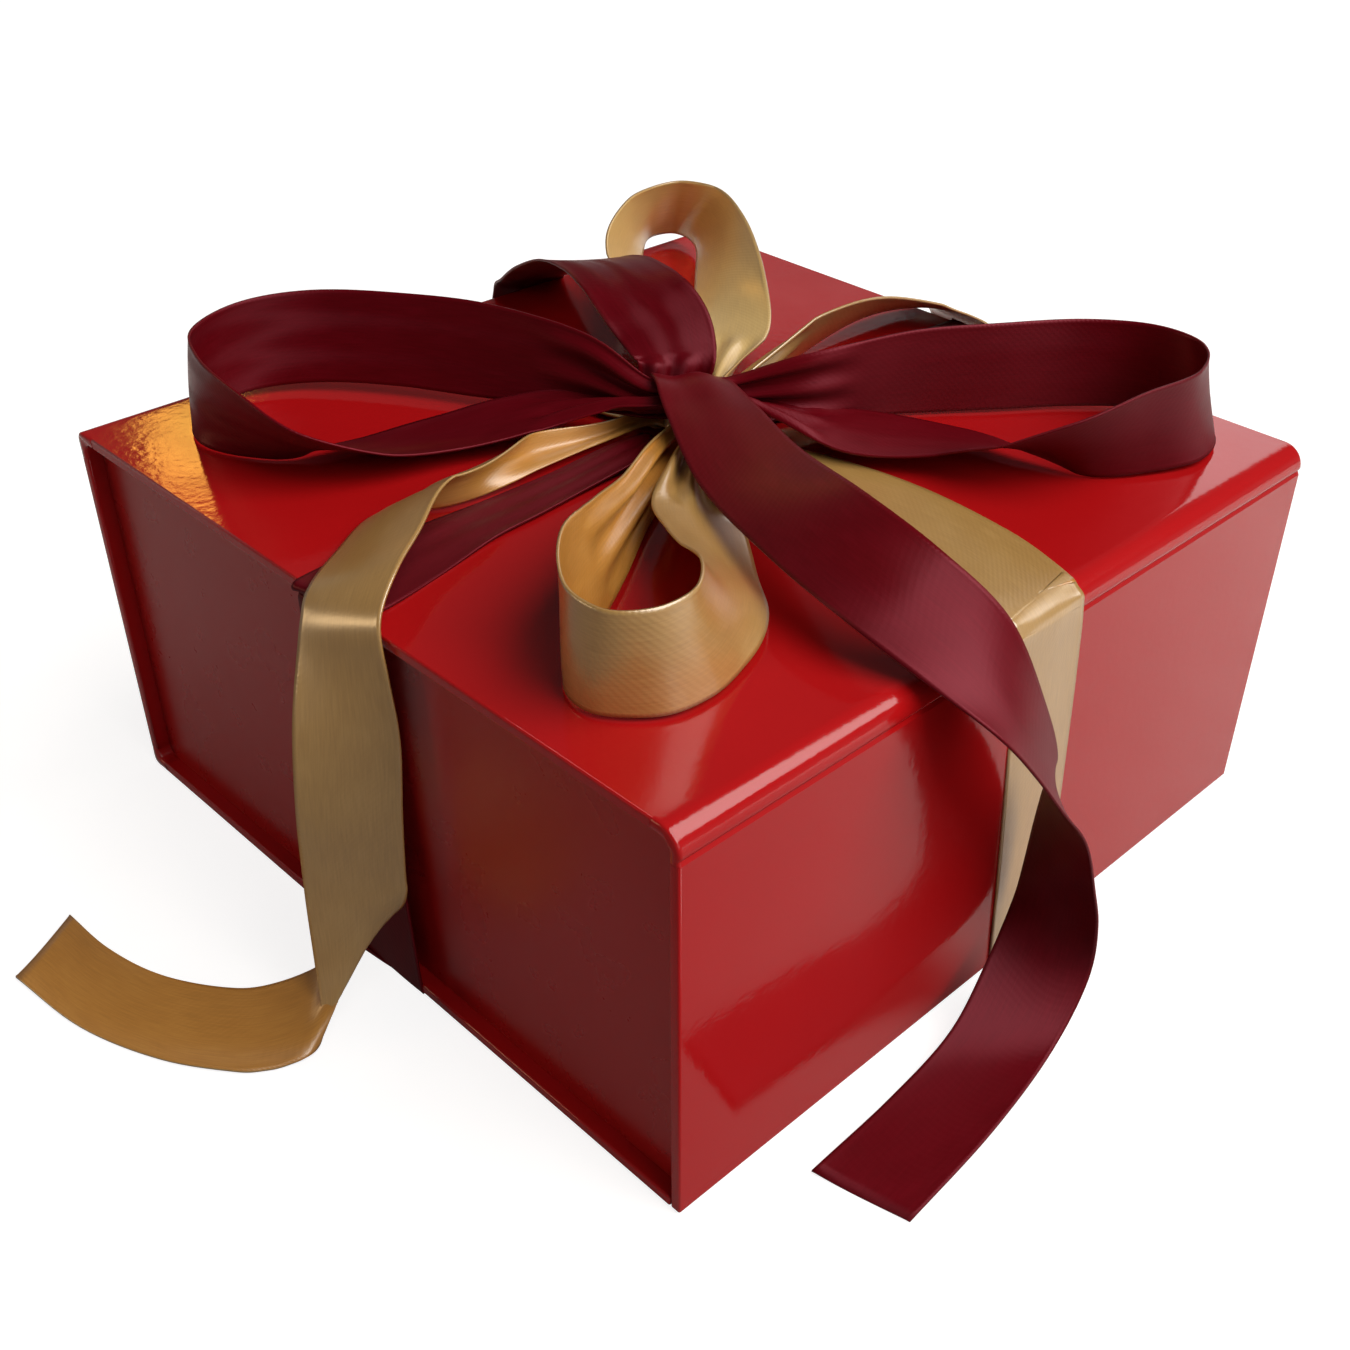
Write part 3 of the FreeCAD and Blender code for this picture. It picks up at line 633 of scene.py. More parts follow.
def ribbon_points(points):
    """Points of both faces in metres, their texture places, and the mean length in mm."""
    normal = np.cross(np.gradient(points, axis=0), np.gradient(points, axis=1))
    normal /= np.linalg.norm(normal, axis=2, keepdims=True)
    steps_along = np.linalg.norm(np.diff(points, axis=0), axis=2)
    run = np.concatenate([np.zeros((1, points.shape[1])), np.cumsum(steps_along, axis=0)])
    u = np.linspace(0, 1, points.shape[1])
    half = np.where(np.abs(u - 0.5) > SELVEDGE_AT, SELVEDGE_HALF, CLOTH_HALF) * RIBBON_T
    lift = normal * half[None, :, None]
    both = np.concatenate([(points + lift).reshape(-1, 3), (points - lift).reshape(-1, 3)])
    uv = np.stack([np.broadcast_to(u, run.shape), run / RIBBON_W], axis=2).reshape(-1, 2)
    return both * MM, np.concatenate([uv, uv]), float(run[-1].mean())


def ribbon_faces(n, m):
    """Upper faces, lower faces and rim of a ribbon of n by m points."""
    index = np.arange(n * m).reshape(n, m)
    corners = (index[:-1, :-1], index[:-1, 1:], index[1:, 1:], index[1:, :-1])
    a, b, c, d = (i.ravel() for i in corners)
    upper = np.stack([a, d, c, b], axis=1)
    lower = np.stack([a, b, c, d], axis=1) + n * m
    rim = np.concatenate([index[:, 0], index[-1, 1:], index[-2::-1, -1], index[0, -2:0:-1]])
    following = np.roll(rim, -1)
    sides = np.stack([rim, rim + n * m, following + n * m, following], axis=1)
    return upper, lower, sides


print("selvedge", round(2 * SELVEDGE_HALF * RIBBON_T, 2), "mm thick, cloth", RIBBON_T, "mm")

# %% Ribbon as an object


def ribbon(name, rows, front, back, steps=8, crown=0.5, phase=0.0, pleats=PLEATS, depth=1.0):
    """A closed ribbon with a thicker selvedge; front and back are its two finishes."""
    points = ribbon_surface(rows, steps, crown, phase, pleats, depth)
    # No point lies lower than a ribbon that is flat on the table.
    points[:, :, 2] = np.maximum(points[:, :, 2], RIBBON_T / 2)
    verts, uv, length = ribbon_points(points)
    upper, lower, sides = ribbon_faces(*points.shape[:2])
    mesh = bpy.data.meshes.new(name)
    mesh.from_pydata(verts.tolist(), [], np.concatenate([upper, lower, sides]).tolist())
    layer = mesh.uv_layers.new(name="ribbon")
    loops = np.empty(len(mesh.loops), int)
    mesh.loops.foreach_get("vertex_index", loops)
    layer.data.foreach_set("uv", uv[loops].astype(np.float32).ravel())
    obj = add_object(name, mesh, front, back)
    which = np.repeat([0, 1, 0], [len(upper), len(lower), len(sides)])
    mesh.polygons.foreach_set("material_index", which)
    mesh.update()
    obj["run_mm"] = length
    print(name, "length", round(length), "mm,", len(mesh.polygons), "faces")
    return obj


def woven(obj):
    """Returns the ribbon run as it is."""
    return obj


# %% [markdown]
# ## Bow loops
# Two burgundy loops lie to the left and right, and two gold ones to the front and back. Away from
# the knot a loop stands on its edge; near the knot its front leg lies down and is gathered. A
# cloth simulation would find such forms by itself, but not this very bow. The stations repeat
# those of the measured model, so each loop fills the space kept for it.

# %% Stations of the burgundy loops
LEFT_LOOP = [
    (-9, 10, 127, 1, 0, 10, 0.4),
    (-15, 30, 130, 5, 3, 24, 0.8),
    (-26, 57, 130.5, 6, 6, 24, 1),
    (-39, 80, 130.5, 6, 5, 24, 1),
    (-55, 98, 130.5, 5, 3, 24, 1),
    (-73, 106, 130, 2, 0, 25, 1),
    (-91, 102, 129, 1, -3, 25, 1),
    (-99, 87, 129, 1, -5, 24, 1),
    (-97, 68, 128, -5, -9, 21, 1),
    (-89, 53, 124.5, -9, -17, 14, 1),
    (-72, 46, 120.5, -12, -20, 6, 1),
    (-52, 42, 119.3, -14, -20, 2, 1),
    (-30, 32, 122, -16, -19, 0, 0.9),
    (-16, 17, 125, -12, -14, 6, 0.5),
    (-11, 8, 126, -8, -8, 10, 0.35),
]
RIGHT_LOOP = [
    (11, -6, 127, 0, 0, 10, 0.4),
    (27, -20, 129, 0, -3, 25, 0.8),
    (52, -31, 129, 0, -3, 25, 1),
    (74, -46, 129, 0, -1, 25, 1),
    (94, -61, 129, 0, 0, 25, 1),
    (106, -77, 129, -2, 0, 25, 1),
    (105, -95, 129, -5, 4, 24, 1),
    (88, -103, 129.3, -7, 3, 24, 1),
    (69, -98, 128.8, -9, 0, 24, 1),
    (53, -89, 126.8, -13, -5, 20, 1),
    (45.5, -74, 123.2, -18, -11, 11, 1),
    (41, -55, 120.3, -19, -15, 3, 1),
    (27, -33, 120.5, -20, -16, 0, 1),
    (14, -16, 124.5, -14, -14, 6, 0.55),
    (8, -10, 126, -8, -8, 10, 0.35),
]
print("burgundy loop stations", len(LEFT_LOOP), len(RIGHT_LOOP))

# %% Stations of the gold loops
FRONT_LOOP = [
    (-10, -5, 120.5, 0, 1, 10, 0.35),
    (-24, -13, 121, -3, 6, 12, 0.45),
    (-45, -26, 122.5, -2, 4, 14, 0.55),
    (-66, -40, 126, -4, 5, 20, 0.8),
    (-86, -53, 129, -6, 5, 23, 1),
    (-103, -67, 129, 0, -2, 25, 1),
    (-105, -80, 129, 2, -3, 24.5, 1),
    (-96, -89, 129, -2, 2, 25, 1),
    (-84, -90, 129, -7, 3, 24, 1),
    (-72, -84, 128.5, -13, 2, 21, 1),
    (-61, -74, 126.5, -18, 3, 18, 1),
    (-50, -58, 123.5, -15, 14, 13, 1),
    (-38, -41, 122, -16, 16, 9, 0.95),
    (-23, -24, 121.5, -10, 10, 6, 0.55),
    (-8, -10, 121, -5, 5, 8, 0.3),
]
BACK_LOOP = [
    (11, 5, 120.5, 2, -4, 8),
    (24, 15.5, 125, 6, -14, 2.5),
    (43.5, 29.5, 127, 10, -23.5, 2),
    (63.5, 49.5, 127.5, 11, -20.5, 11),
    (81.5, 70, 128, 8, -17.5, 18),
    (94.5, 86.5, 128.8, 3, -15, 21),
    (101, 97, 129, 0, -14, 22),
    (103, 105, 129, -3, -14, 22),
    (100, 112.5, 129, -7, -11, 22),
    (90, 114, 129, -9, -10, 22),
    (77.5, 108, 129, -13, -7, 21.5),
    (60.5, 94.5, 127.5, -19, -4.5, 17),
    (46.5, 76.5, 124.5, -18, -4, 9),
    (29, 49, 124.3, -18, -2, 12),
    (13, 25, 121.5, -12, 2, 9),
    (5, 10, 120, -4, 2, 6.5),
]
print("gold loop stations", len(FRONT_LOOP), len(BACK_LOOP))

# %% Bow loops
KNOT_REACH = 0.35


def into_knot(rows, both=True):
    """The same run with its gathered end, or both ends, carried on into the middle of the knot."""
    def inner(row):
        return (row[0] * KNOT_REACH, row[1] * KNOT_REACH, *row[2:])

    return [inner(rows[0])] + rows + ([inner(rows[-1])] if both else [])


burgundy_left = ribbon("burgundy_left_ribbon", into_knot(LEFT_LOOP), BURGUNDY, BURGUNDY_BACK,
                       phase=0.4)
burgundy_right = ribbon("burgundy_right_ribbon", into_knot(RIGHT_LOOP), BURGUNDY, BURGUNDY_BACK,
                        phase=1.9)
gold_front = ribbon("gold_front_ribbon", into_knot(FRONT_LOOP), GOLD_PALE, GOLD_REVERSE_AND_WARM_LIGHT, phase=0.9)
# The rear loop's back takes the lighter gold, a painted light.
gold_back = ribbon("gold_back_ribbon", into_knot(BACK_LOOP), GOLD_PALE, GOLD_PAINTED_LIGHT, phase=2.6)
for piece, node in ((burgundy_left, "burgundy_left_loop"), (burgundy_right, "burgundy_right_loop"),
                    (gold_front, "gold_front_loop"), (gold_back, "gold_back_loop")):
    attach(piece, "lid")
    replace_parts(piece, node)
    woven(piece)

# %% [markdown]
# ## Tails
# The four free ends leave the knot, cross the edge of the lid and hang, and the two in front curl
# over on the table. Each could be cut in two at the lid's edge, but then the cut would gape when
# the lid opens. So a tail is one strip, and it goes on hanging.

# %% Stations of the front and left tails
FRONT_TAIL = [
    (4.3, 8.6, 128.2, 11, -11, 0),
    (2.5, 5, 131.4, 14, -14, 0),
    (-1, -2, 132.6, 15.5, -15.5, 0),
    (-7, -13, 131.6, 17.5, -15, 2.5),
    (-22.5, -43, 130.5, 21, -12.5, 8.5),
    (-37, -79.5, 134, 20, -10, 14),
    (-41, -105.5, 131.3, 22, -6.5, 12.5),
    (-36, -123, 121, 24.5, -3, 7),
    (-30, -135.5, 105.5, 25, 4, -6),
    (-21, -138.5, 89.5, 23.5, 10, -11),
    (-13.5, -137.5, 76, 19.5, 17.5, -10.5),
    (-6.5, -136.5, 61.5, 13.5, 22, -11),
    (-2.5, -136, 43.5, 5.5, 24, -9.5),
    (-1, -136, 29, -1.5, 25, -7),
    (-7, -137.5, 14.5, -13, 23, 0),
    (-25, -141, 4, -16, 21, 3.5),
    (-53, -144, 1, -10, 24.5, 0),
    (-86, -146, 0.8, -6, 25.5, 0),
]
LEFT_TAIL = [
    (-4.5, 12, 119.2, 0.5, 1, 4),
    (-20.6, 14.5, 118.2, 2.8, 4.5, 3),
    (-41.7, 15.8, 119.6, 6.6, 7.9, 5.9),
    (-53, 14.4, 120.8, 10, 3.7, 8.5),
    (-69, 11.5, 122.4, 8, -7.4, 12.1),
    (-85, 13, 122.6, 8.5, -20.5, 13.5),
    (-102.5, 2.5, 121.6, 12.5, -20, 11),
    (-116, -7, 121, 11.5, -21, 10.5),
    (-123.4, -12, 115.6, 6.5, -24, 7.5),
    (-126, -14.5, 105, 8.5, -24.5, 2.5),
    (-129, -17, 88, 15.5, -21, 0),
    (-131.5, -17.3, 66, 18, -18.5, -0.5),
    (-132, -16, 46.5, 17, -20, 1),
    (-132.7, -16.4, 36, 17.5, -19.5, 12),
    (-133.8, -16.5, 26.8, 19, -14.5, 19.5),
    (-136, -16.7, 19.8, 20, -5.5, 23.5),
    (-139.8, -16, 14.5, 20.5, 4, 24.5),
    (-144.5, -13.8, 10.4, 21, 11.5, 18.5),
    (-149, -11, 6.3, 21.5, 14.5, 10.5),
    (-156, -6.5, 3.8, 17.5, 18.5, 5.5),
    (-163.5, -0.5, 3.2, 14, 21, 4.5),
    (-175, 16.5, 3.3, 14, 21, 4.5),
    (-182, 39.5, 2.3, 18.5, 18, 2.5),
    (-184, 65.5, 0.9, 22, 13, 0),
]
print("front and left tail stations", len(FRONT_TAIL), len(LEFT_TAIL))

# %% Stations of the back and right tails
BACK_TAIL = [
    (4.5, 13, 125.5, 10, -6, 0, 0.7),
    (7, 14.5, 130.5, 14, -8, 1, 0.85),
    (9.5, 18, 133.8, 16, -11, 1.5, 0.95),
    (11.5, 24, 138, 19, -16, 4, 1),
    (12.5, 33, 142.3, 19.5, -16, 5, 1),
    (15.5, 44.5, 144.8, 22, -13, 3, 1),
    (21, 59, 143.6, 23.5, -10.5, 0, 1),
    (27, 77, 138.5, 24.3, -7, -3.5, 1),
    (30.5, 94, 130, 24.5, -5, -6, 1),
    (35, 108, 122.5, 25, -4, -4, 1),
    (39, 117.5, 117.3, 25, -4, -1, 1),
    (41, 123.2, 107, 25, -3, 0, 1),
    (42, 125, 90, 25, -2, 0, 1),
    (43, 127, 60, 25, -2, 0, 1),
    (45, 130, 30, 25, 2, 0, 1),
]
RIGHT_TAIL = [
    (11, 1.5, 121.5, -1, -1, 10, 0.3),
    (30, 4.5, 124, -8, -10, 18, 0.6),
    (56, 8.5, 126, -12, -14, 17, 1),
    (82, 10.5, 125.5, -12, -16, 14, 1),
    (105, 9, 122.5, -7, -22, 8, 1),
    (116.5, 5.5, 119.6, -3, -25, 3, 1),
    (123, 3.5, 114.5, -1, -25, 1, 1),
    (125, 2, 105, 0, -25, 0, 1),
    (126, -1, 85, 3, -25, 0, 1),
    (127, -4, 55, 6, -24, 0, 1),
    (130, -6, 25, 6, -24, 0, 1),
]
print("back and right tail stations", len(BACK_TAIL), len(RIGHT_TAIL))

# %% Tails
front_tail = ribbon("burgundy_front_ribbon", FRONT_TAIL, BURGUNDY, BURGUNDY_BACK,
                    phase=0.2, pleats=1.5, depth=0.3)
left_tail = ribbon("gold_left_ribbon", into_knot(LEFT_TAIL, both=False), GOLD_PALE, GOLD_REVERSE_AND_WARM_LIGHT,
                   phase=1.1, pleats=1.0, depth=0.35)
back_tail = ribbon("burgundy_back_ribbon", into_knot(BACK_TAIL, both=False), BURGUNDY,
                   BURGUNDY_BACK, phase=2.2)
right_tail = ribbon("gold_right_ribbon", into_knot(RIGHT_TAIL, both=False), GOLD_PALE, GOLD_REVERSE_AND_WARM_LIGHT,
                    phase=0.7)
for piece, body, start, end, name in (
        (front_tail, "flap", (-38, -112, 125), (-31, -125, 112), "burgundy_front"),
        (left_tail, "left_tail", (-116, -8, 119.5), (-125.5, -13, 108), "gold_left"),
        (back_tail, "box", (36, 109, 126), (41, 123, 109), "burgundy_back"),
        (right_tail, "right_tail", (117, 5, 118.5), (124.5, 3, 108), "gold_right")):
    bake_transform(piece)
    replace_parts(piece, name + "_tail", name + "_fall")
    woven(piece)

# %% [markdown]
# ## Gold band
# Under the bow the gold ribbon also runs flat round the box, from front to back. It crosses the
# folds of the cover, so its stations go round the same rounded corner as the paper, further out by
# half the ribbon's thickness. It could be cut at each fold, but each half is one strip.

# %% Stations of the gold band
ON_LID = BOX_H + RIBBON_T
SKIN = RIBBON_T / 2
GOLD_BACK_X = 4.5


def round_fold(side, up, axis_z, x, squareness, steps=6):
    """Stations of a band that goes round a fold, from the upright board to the flat one."""
    rows = []
    reach = FOLD_R + SKIN
    for step in range(steps + 1):
        y, z = corner(math.pi / 2 * step / steps, squareness)
        rows.append((x, side * (AXIS_Y + reach * y), axis_z + up * reach * z, 25, 0, 0, 1))
    return rows


GOLD_FRONT_RUN = [
    (1, -10, 116.2, 10, 0, 0, 0.35),
    (6, -32, 116.4, 25, 3, 0, 0.8),
    (9.5, -60, 116, 25, 0, 0, 1),
    (8, -90, 115.5, 25, -3, 0, 1),
    (3.5, -108, ON_LID, 25, -4, 0, 1),
    *round_fold(-1, 1, AXIS_Z, 1.5, SOFT)[::-1],
    (2, -HALF_D - SKIN, 100, 25, 0, 2, 1),
    (5.5, -HALF_D - SKIN, 60, 25, 0, 2, 1),
    (10, -HALF_D - SKIN, 0.7, 25, 0, 2, 1),
]
GOLD_BACK_RUN = [
    (0, 10, 116.2, 10, 0, 0, 0.35),
    (0, 30, 116.4, 25, 0, 0, 0.8),
    (1, 60, 115.8, 25, 0, 0, 1),
    (2.4, 100, ON_LID, 25, -2, 0, 1),
    *round_fold(1, 1, AXIS_Z, GOLD_BACK_X, CRISP)[::-1],
    (GOLD_BACK_X, HALF_D + SKIN, 90, 25, 0, 0, 1),
    (GOLD_BACK_X, HALF_D + SKIN, 30, 25, 0, 0, 1),
    *round_fold(1, -1, FOOT_Z, GOLD_BACK_X, CRISP),
]
print("gold band stations", len(GOLD_FRONT_RUN), len(GOLD_BACK_RUN))

# %% Gold band
PULLED = {"crown": 0.0, "depth": 0.15}  # a band pulled tight lies flat and hardly pleats
gold_front_band = ribbon("gold_front_band", GOLD_FRONT_RUN, GOLD_PALE, GOLD_REVERSE_AND_WARM_LIGHT,
                         phase=1.3, **PULLED)
# The top of the rear band shows the warm gold, partly painted warm light.
gold_back_band = ribbon("gold_back_band", GOLD_BACK_RUN, GOLD_REVERSE_AND_WARM_LIGHT, GOLD_PALE,
                        phase=0.5, **PULLED)
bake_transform(gold_front_band)
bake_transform(gold_back_band)
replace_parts(gold_front_band, "gold_band_front_top", "gold_band_front_fold", "gold_band_flap")
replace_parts(gold_back_band, "gold_band_back_top", "gold_band_spine_fold", "gold_band_spine",
            "gold_band_base_fold")
for piece in (gold_front_band, gold_back_band):
    woven(piece)

# %% [markdown]
# ## Burgundy band
# The burgundy ribbon runs from side to side and drops straight from the lid's edge to the base,
# clear of the tray wall. One strip would tear when the lid opens, because nothing at the sides
# bends. So it is divided under the lid's edge: the upper pieces ride on the lid, and the side
# pieces stay on the box.

# %% Stations of the burgundy band
BURGUNDY_LEFT_RUN = [
    (-10, 4.5, 117.4, 0, 10, 0, 0.36),
    (-21, 3.6, 117.4, 0, 25, 0, 0.48),
    (-43, 2.6, 116.4, 0, 25, 0, 0.5),
    (-60, 2.4, 115.8, 0, 25, 0, 0.61),
    (-76, 2.3, 115.5, 1, 25, 0, 0.7),
    (-95, 0.3, 115.4, 2, 25, 0, 0.87),
    (-112, -1.7, ON_LID, 2, 25, 0, 1),
    (-118.8, -2.3, BOX_H + 0.35, 2, 25, 0, 1),
    (-119.9, -2.5, BOX_H - 0.1, 1, 25, 0, 1),
    (-HALF_W - SKIN, -2.5, BOX_H - 1.2, 0, 25, 0, 1),
    (-HALF_W - SKIN, -2.5, BOX_H - PANEL, 0, 25, 0, 1),
]
BURGUNDY_RIGHT_RUN = [
    (10, 0, 116.2, 0, 10, 0, 0.35),
    (30, -2, 116.4, 0, 25, 0, 0.7),
    (60, -5, 116.2, 1, 25, 0, 1),
    (90, -7, 115.5, 1, 25, 0, 1),
    (112, -8.5, ON_LID, 1, 25, 0, 1),
    (118.8, -9, BOX_H + 0.35, 0, 25, 0, 1),
    (119.9, -9, BOX_H - 0.1, 0, 25, 0, 1),
    (HALF_W + SKIN, -9, BOX_H - 1.2, 0, 25, 0, 1),
    (HALF_W + SKIN, -9, BOX_H - PANEL, 0, 25, 0, 1),
]


def side_run(sign, top_y):
    """Stations of the burgundy band from under the lid's edge down to the base."""
    x = sign * (HALF_W + SKIN)
    places = [(sign * 116, top_y, 111.3), (sign * 119.4, top_y, 111.2), (x, top_y, 110.4),
              (x, top_y * 0.7 - 2.4, 74), (x, top_y * 0.3 - 5.6, 37), (x, -8, 1.6),
              (sign * 119.6, -8, 0.35), (sign * 116, -8, SKIN)]
    return [(*place, 0, 25, 0, 1) for place in places]


print("burgundy band stations", len(BURGUNDY_LEFT_RUN), len(BURGUNDY_RIGHT_RUN))

# %% Burgundy band
left_top = ribbon("burgundy_left_top_band", BURGUNDY_LEFT_RUN, BURGUNDY, BURGUNDY_BACK,
                  phase=0.6, **PULLED)
right_top = ribbon("burgundy_right_top_band", BURGUNDY_RIGHT_RUN, BURGUNDY_BACK, BURGUNDY,
                   phase=1.7, **PULLED)
left_side = ribbon("burgundy_left_side_band", side_run(-1, -2.5), BURGUNDY, BURGUNDY_BACK,
                   **PULLED)
right_side = ribbon("burgundy_right_side_band", side_run(1, -9.0), BURGUNDY_BACK, BURGUNDY,
                    **PULLED)
for piece, body, node in ((left_top, "lid", "burgundy_band_left_top"),
                          (right_top, "lid", "burgundy_band_right_top"),
                          (left_side, "box", "burgundy_band_left_side"),
                          (right_side, "box", "burgundy_band_right_side")):
    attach(piece, body)
    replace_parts(piece, node)
    woven(piece)

# %% [markdown]
# ## Runs under the box
# Under the box both ribbons lie flat between the base and the table. Real ones cross there, one
# over the other, and the box rocks a little. Here the gold ribbon is cut at the crossing, so that
# both lie in one plane and the box stands level.

# %% Runs under the box
UNDER_BURGUNDY = [(x, -8, SKIN, 0, 25, 0, 1) for x in (-115.5, -60, 0, 60, 115.5)]
UNDER_GOLD_FRONT = [(x, y, SKIN, 25, 0, 0, 1) for x, y in ((10, -116.5), (9, -70), (7.9, -21.5))]
UNDER_GOLD_BACK = [(x, y, SKIN, 25, 0, 0, 1)
                   for x, y in ((7, 5.5), (5.8, 60), (GOLD_BACK_X, 113.8))]
under_burgundy = ribbon("burgundy_bottom_band", UNDER_BURGUNDY, BURGUNDY, BURGUNDY_BACK, **PULLED)
under_front = ribbon("gold_bottom_front_band", UNDER_GOLD_FRONT, GOLD_PALE, GOLD_REVERSE_AND_WARM_LIGHT, **PULLED)
under_back = ribbon("gold_bottom_back_band", UNDER_GOLD_BACK, GOLD_PALE, GOLD_REVERSE_AND_WARM_LIGHT, **PULLED)
for piece, node in ((under_burgundy, "burgundy_band_bottom"), (under_front, "gold_band_bottom"),
                    (under_back, "gold_band_bottom")):
    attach(piece, "box")
    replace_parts(piece, node)
    woven(piece)

# %% [markdown]
# ## Knot
# Under the strip that wraps the bow all the runs are pulled together into a tight bundle of
# pleats. It could be modelled strand by strand, but little of it shows. A turned form with ridges
# round it is enough: gold below and burgundy above.

# %% Knot
KNOT_RINGS, KNOT_SPOKES = 14, 88
RIDGES, RIDGE_HEIGHT, RIDGE_LEAN = 11, 0.07, 2.0
GIRTH_FROM, GIRTH_SPAN, FULLNESS = 0.08, 0.84, 0.45


def knot(name, low, high, radius, finish, turn, node):
    """A gathered bundle between two heights, with ridges that lean round it."""
    verts = []
    for i in range(KNOT_RINGS + 1):
        t = i / KNOT_RINGS
        girth = radius * math.sin(math.pi * (GIRTH_FROM + GIRTH_SPAN * t)) ** FULLNESS
        for k in range(KNOT_SPOKES):
            angle = TURN * k / KNOT_SPOKES
            ridge = 1 + RIDGE_HEIGHT * math.cos(RIDGES * angle + turn + RIDGE_LEAN * t)
            verts.append((girth * ridge * math.cos(angle) * MM,
                          girth * ridge * math.sin(angle) * MM, (low + (high - low) * t) * MM))
    faces = ring_faces(KNOT_RINGS + 1, KNOT_SPOKES)
    faces.append(tuple(range(KNOT_SPOKES))[::-1])
    faces.append(tuple(range(KNOT_RINGS * KNOT_SPOKES, (KNOT_RINGS + 1) * KNOT_SPOKES)))
    mesh = bpy.data.meshes.new(name)
    mesh.from_pydata(verts, [], faces)
    layer = mesh.uv_layers.new(name="ribbon")
    for loop, spot in zip(mesh.loops, layer.data):
        ring, spoke = divmod(loop.vertex_index, KNOT_SPOKES)
        spot.uv = (0.1 + 0.8 * ring / KNOT_RINGS, 2.0 * spoke / KNOT_SPOKES)  # no selvedge
    obj = add_object(name, mesh, finish)
    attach(obj, "lid")
    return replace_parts(obj, node)


gold_bundle = knot("gold_bundle", 115.9, 123, 7.6, GOLD_PALE, 0.3, "gold_knot")
burgundy_bundle = knot("burgundy_bundle", 121, 131, 7.4, BURGUNDY, 1.1, "burgundy_knot")
print("knot", gold_bundle.name, burgundy_bundle.name)

# %% [markdown]
# ## Table
# The box stands on a plain pale table. More light would make it white, but would bleach the box
# as well, so the table has a glow that almost only the camera sees, and it keeps a soft shadow.
# In reflections it carries a painted shade that darkens it to the left and a painted light that
# brightens it to the right, so the satin has contrast.

# %% Table
TABLE_HALF = 6
GRAIN = (40.0, 3.0)
GREY_LOW, GREY_HIGH = (0.33, 0.32, 0.31), (0.36, 0.35, 0.34)
# Painted shade and light in reflections: the table's colour is scaled along this axis.
PAINTED_LIGHT_AXIS = (1.0, 0.4, 0.0)
PAINTED_LIGHT_RANGE, PAINTED_SHADE_TO_LIGHT = (-0.24, 0.20), (0.15, 2.6)
WHITE_RANGE, WHITE_LEVELS = (0.6, 1.8), (0.84, 1.0)
GLOW_IN_MIRROR = 0.05


def table_finish():
    """Pale matt table that reads as white, and keeps a soft shadow."""
    material, tree, shader = new_material("pale_table")
    place = surface_place(tree)
    tint = ramp(tree, noise(tree, place, *GRAIN), [(NOISE_LOW, GREY_LOW), (NOISE_HIGH, GREY_HIGH)])
    path = add_node(tree, "ShaderNodeLightPath").outputs
    mirrored = maths(tree, "MAXIMUM", path["Is Glossy Ray"], path["Is Transmission Ray"])
    # Painted shade and light: in reflections the table is darker to the left and brighter to the
    # right.
    side = add_node(tree, "ShaderNodeVectorMath", {"operation": "DOT_PRODUCT"},
                    i0=place, i1=PAINTED_LIGHT_AXIS)
    painted_shade_and_light = remap(tree, side.outputs["Value"], *PAINTED_LIGHT_RANGE, *PAINTED_SHADE_TO_LIGHT)
    lit = add_node(tree, "ShaderNodeVectorMath", {"operation": "SCALE"}, i0=tint,
                   Scale=between(tree, mirrored, 1.0, painted_shade_and_light))
    fill(tree, shader, Base_Color=lit.outputs["Vector"], Roughness=0.8)
    seen = maths(tree, "MULTIPLY_ADD", mirrored, GLOW_IN_MIRROR, path["Is Camera Ray"])
    reach = add_node(tree, "ShaderNodeVectorMath", {"operation": "LENGTH"}, i0=place)
    white = remap(tree, reach.outputs["Value"], *WHITE_RANGE, *WHITE_LEVELS)
    glow = add_node(tree, "ShaderNodeEmission", Color=(1, 1, 1, 1),
                    Strength=maths(tree, "MULTIPLY", seen, white))
    both = add_node(tree, "ShaderNodeAddShader", i0=shader.outputs[0], i1=glow.outputs[0])
    fill(tree, tree.nodes["Material Output"], Surface=both.outputs[0])
    return material


corners = [(x * TABLE_HALF, y * TABLE_HALF, 0) for x, y in ((-1, -1), (1, -1), (1, 1), (-1, 1))]
floor_mesh = bpy.data.meshes.new("table")
floor_mesh.from_pydata(corners, [], [(0, 1, 2, 3)])
floor = add_object("table", floor_mesh, table_finish())
print("table", 2 * TABLE_HALF, "m wide")

# %% [markdown]
# ## Lamps
# Large lamps give the soft light of a studio, and small ones mostly draw gleams. The key lamp
# stands at the front right, with a weak fill in front. A window lamp on the right and a small
# pale lamp at the back give the lid its sheen, and an amber one leaves a gleam on the far corner.
# A warm lamp, low at the back left, lights the left side wall. A sky picture could hold all of
# them, but lamps are easier to move one by one.

# %% Lamps


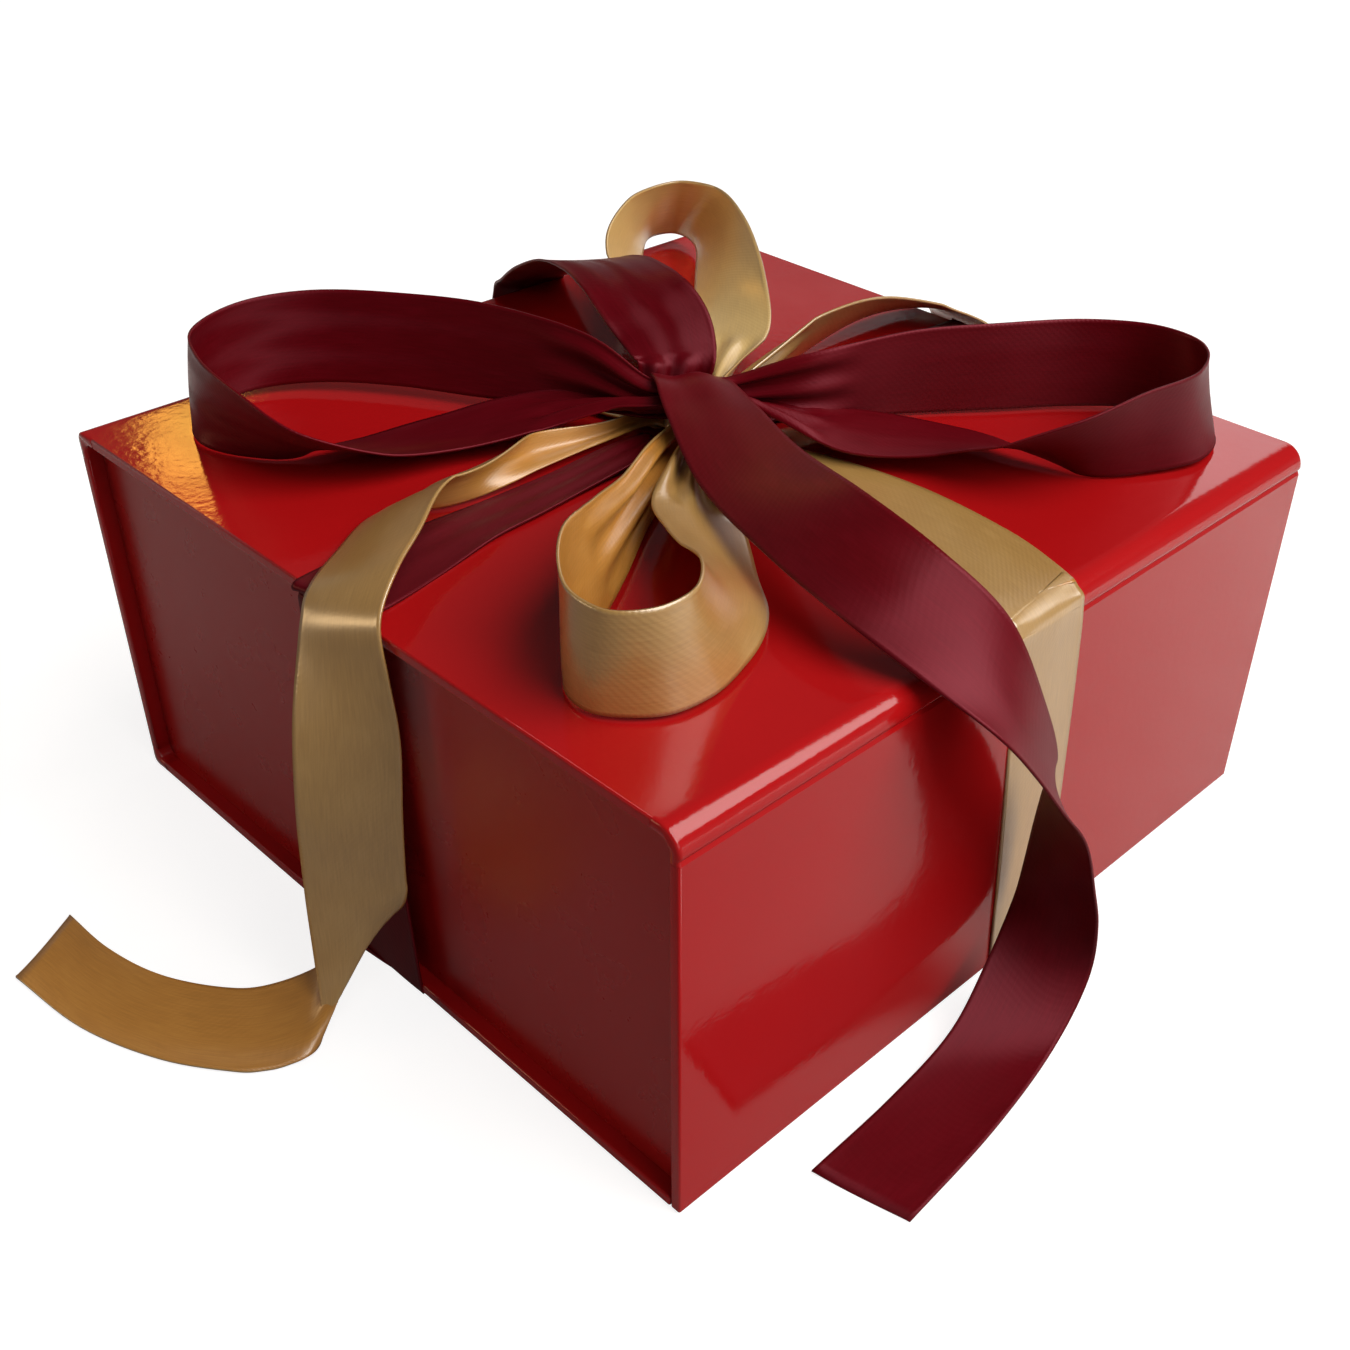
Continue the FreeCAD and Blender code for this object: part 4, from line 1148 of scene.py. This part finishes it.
def lamp(name, place, aim, width, height, power, colour):
    """A rectangular soft lamp at a place, aimed at a point."""
    data = bpy.data.lights.new(name, "AREA")
    data.shape, data.size, data.size_y = "RECTANGLE", width, height
    data.energy, data.color = power, colour
    obj = bpy.data.objects.new(name, data)
    bpy.context.scene.collection.objects.link(obj)
    obj.location = place
    obj.rotation_euler = (Vector(aim) - Vector(place)).to_track_quat("-Z", "Y").to_euler()
    return obj


PALE = (1.0, 0.93, 0.93)
lamp("key_lamp", (0.55, -1.25, 1.75), (0, 0, 0.1), 2.0, 2.0, 63, (1.0, 0.97, 0.94))
lamp("window_lamp", (2.4, 0.62, 1.15), (0, 0, 0.1), 1.0, 0.8, 4.6, PALE)
lamp("front_fill", (-0.15, -1.6, 0.75), (0, 0, 0.06), 1.0, 1.0, 3.0, (1.0, 0.95, 0.93))
lamp("pale_back_lamp", (1.80, 1.62, 1.02), (0.08, 0.05, 0.115), 0.45, 0.24, 0.11, PALE)
lamp("amber_lamp", (0.52, 1.40, 0.80), (-0.1, 0.1, 0.115), 0.10, 0.14, 0.33, (1.0, 0.46, 0.07))
lamp("warm_edge_lamp", (-1.35, 1.05, 0.43), (-0.1, 0, 0.1), 0.7, 0.25, 3.6, (1.0, 0.70, 0.38))

# %% [markdown]
# ## Sky
# A dim white world fills the shadows, a little brighter near the horizon. The camera sees it as
# plain white. A strong world would do without lamps, but then the gloss would have nothing to
# mirror.

# %% Sky
HORIZON_RANGE, SKY_LEVELS = (0.08, 0.30), (0.22, 0.07)

world = bpy.data.worlds.new("studio_sky")
bpy.context.scene.world = world
world.use_nodes = True
sky = world.node_tree
look = add_node(sky, "ShaderNodeTexCoord").outputs["Generated"]
height = add_node(sky, "ShaderNodeSeparateXYZ", Vector=look).outputs["Z"]
seen = add_node(sky, "ShaderNodeLightPath").outputs["Is Camera Ray"]
horizon = remap(sky, height, *HORIZON_RANGE, *SKY_LEVELS)
fill(sky, sky.nodes["Background"], Color=(1, 1, 1, 1), Strength=between(sky, seen, horizon, 1.0))
print("sky", world.name, "levels", SKY_LEVELS)
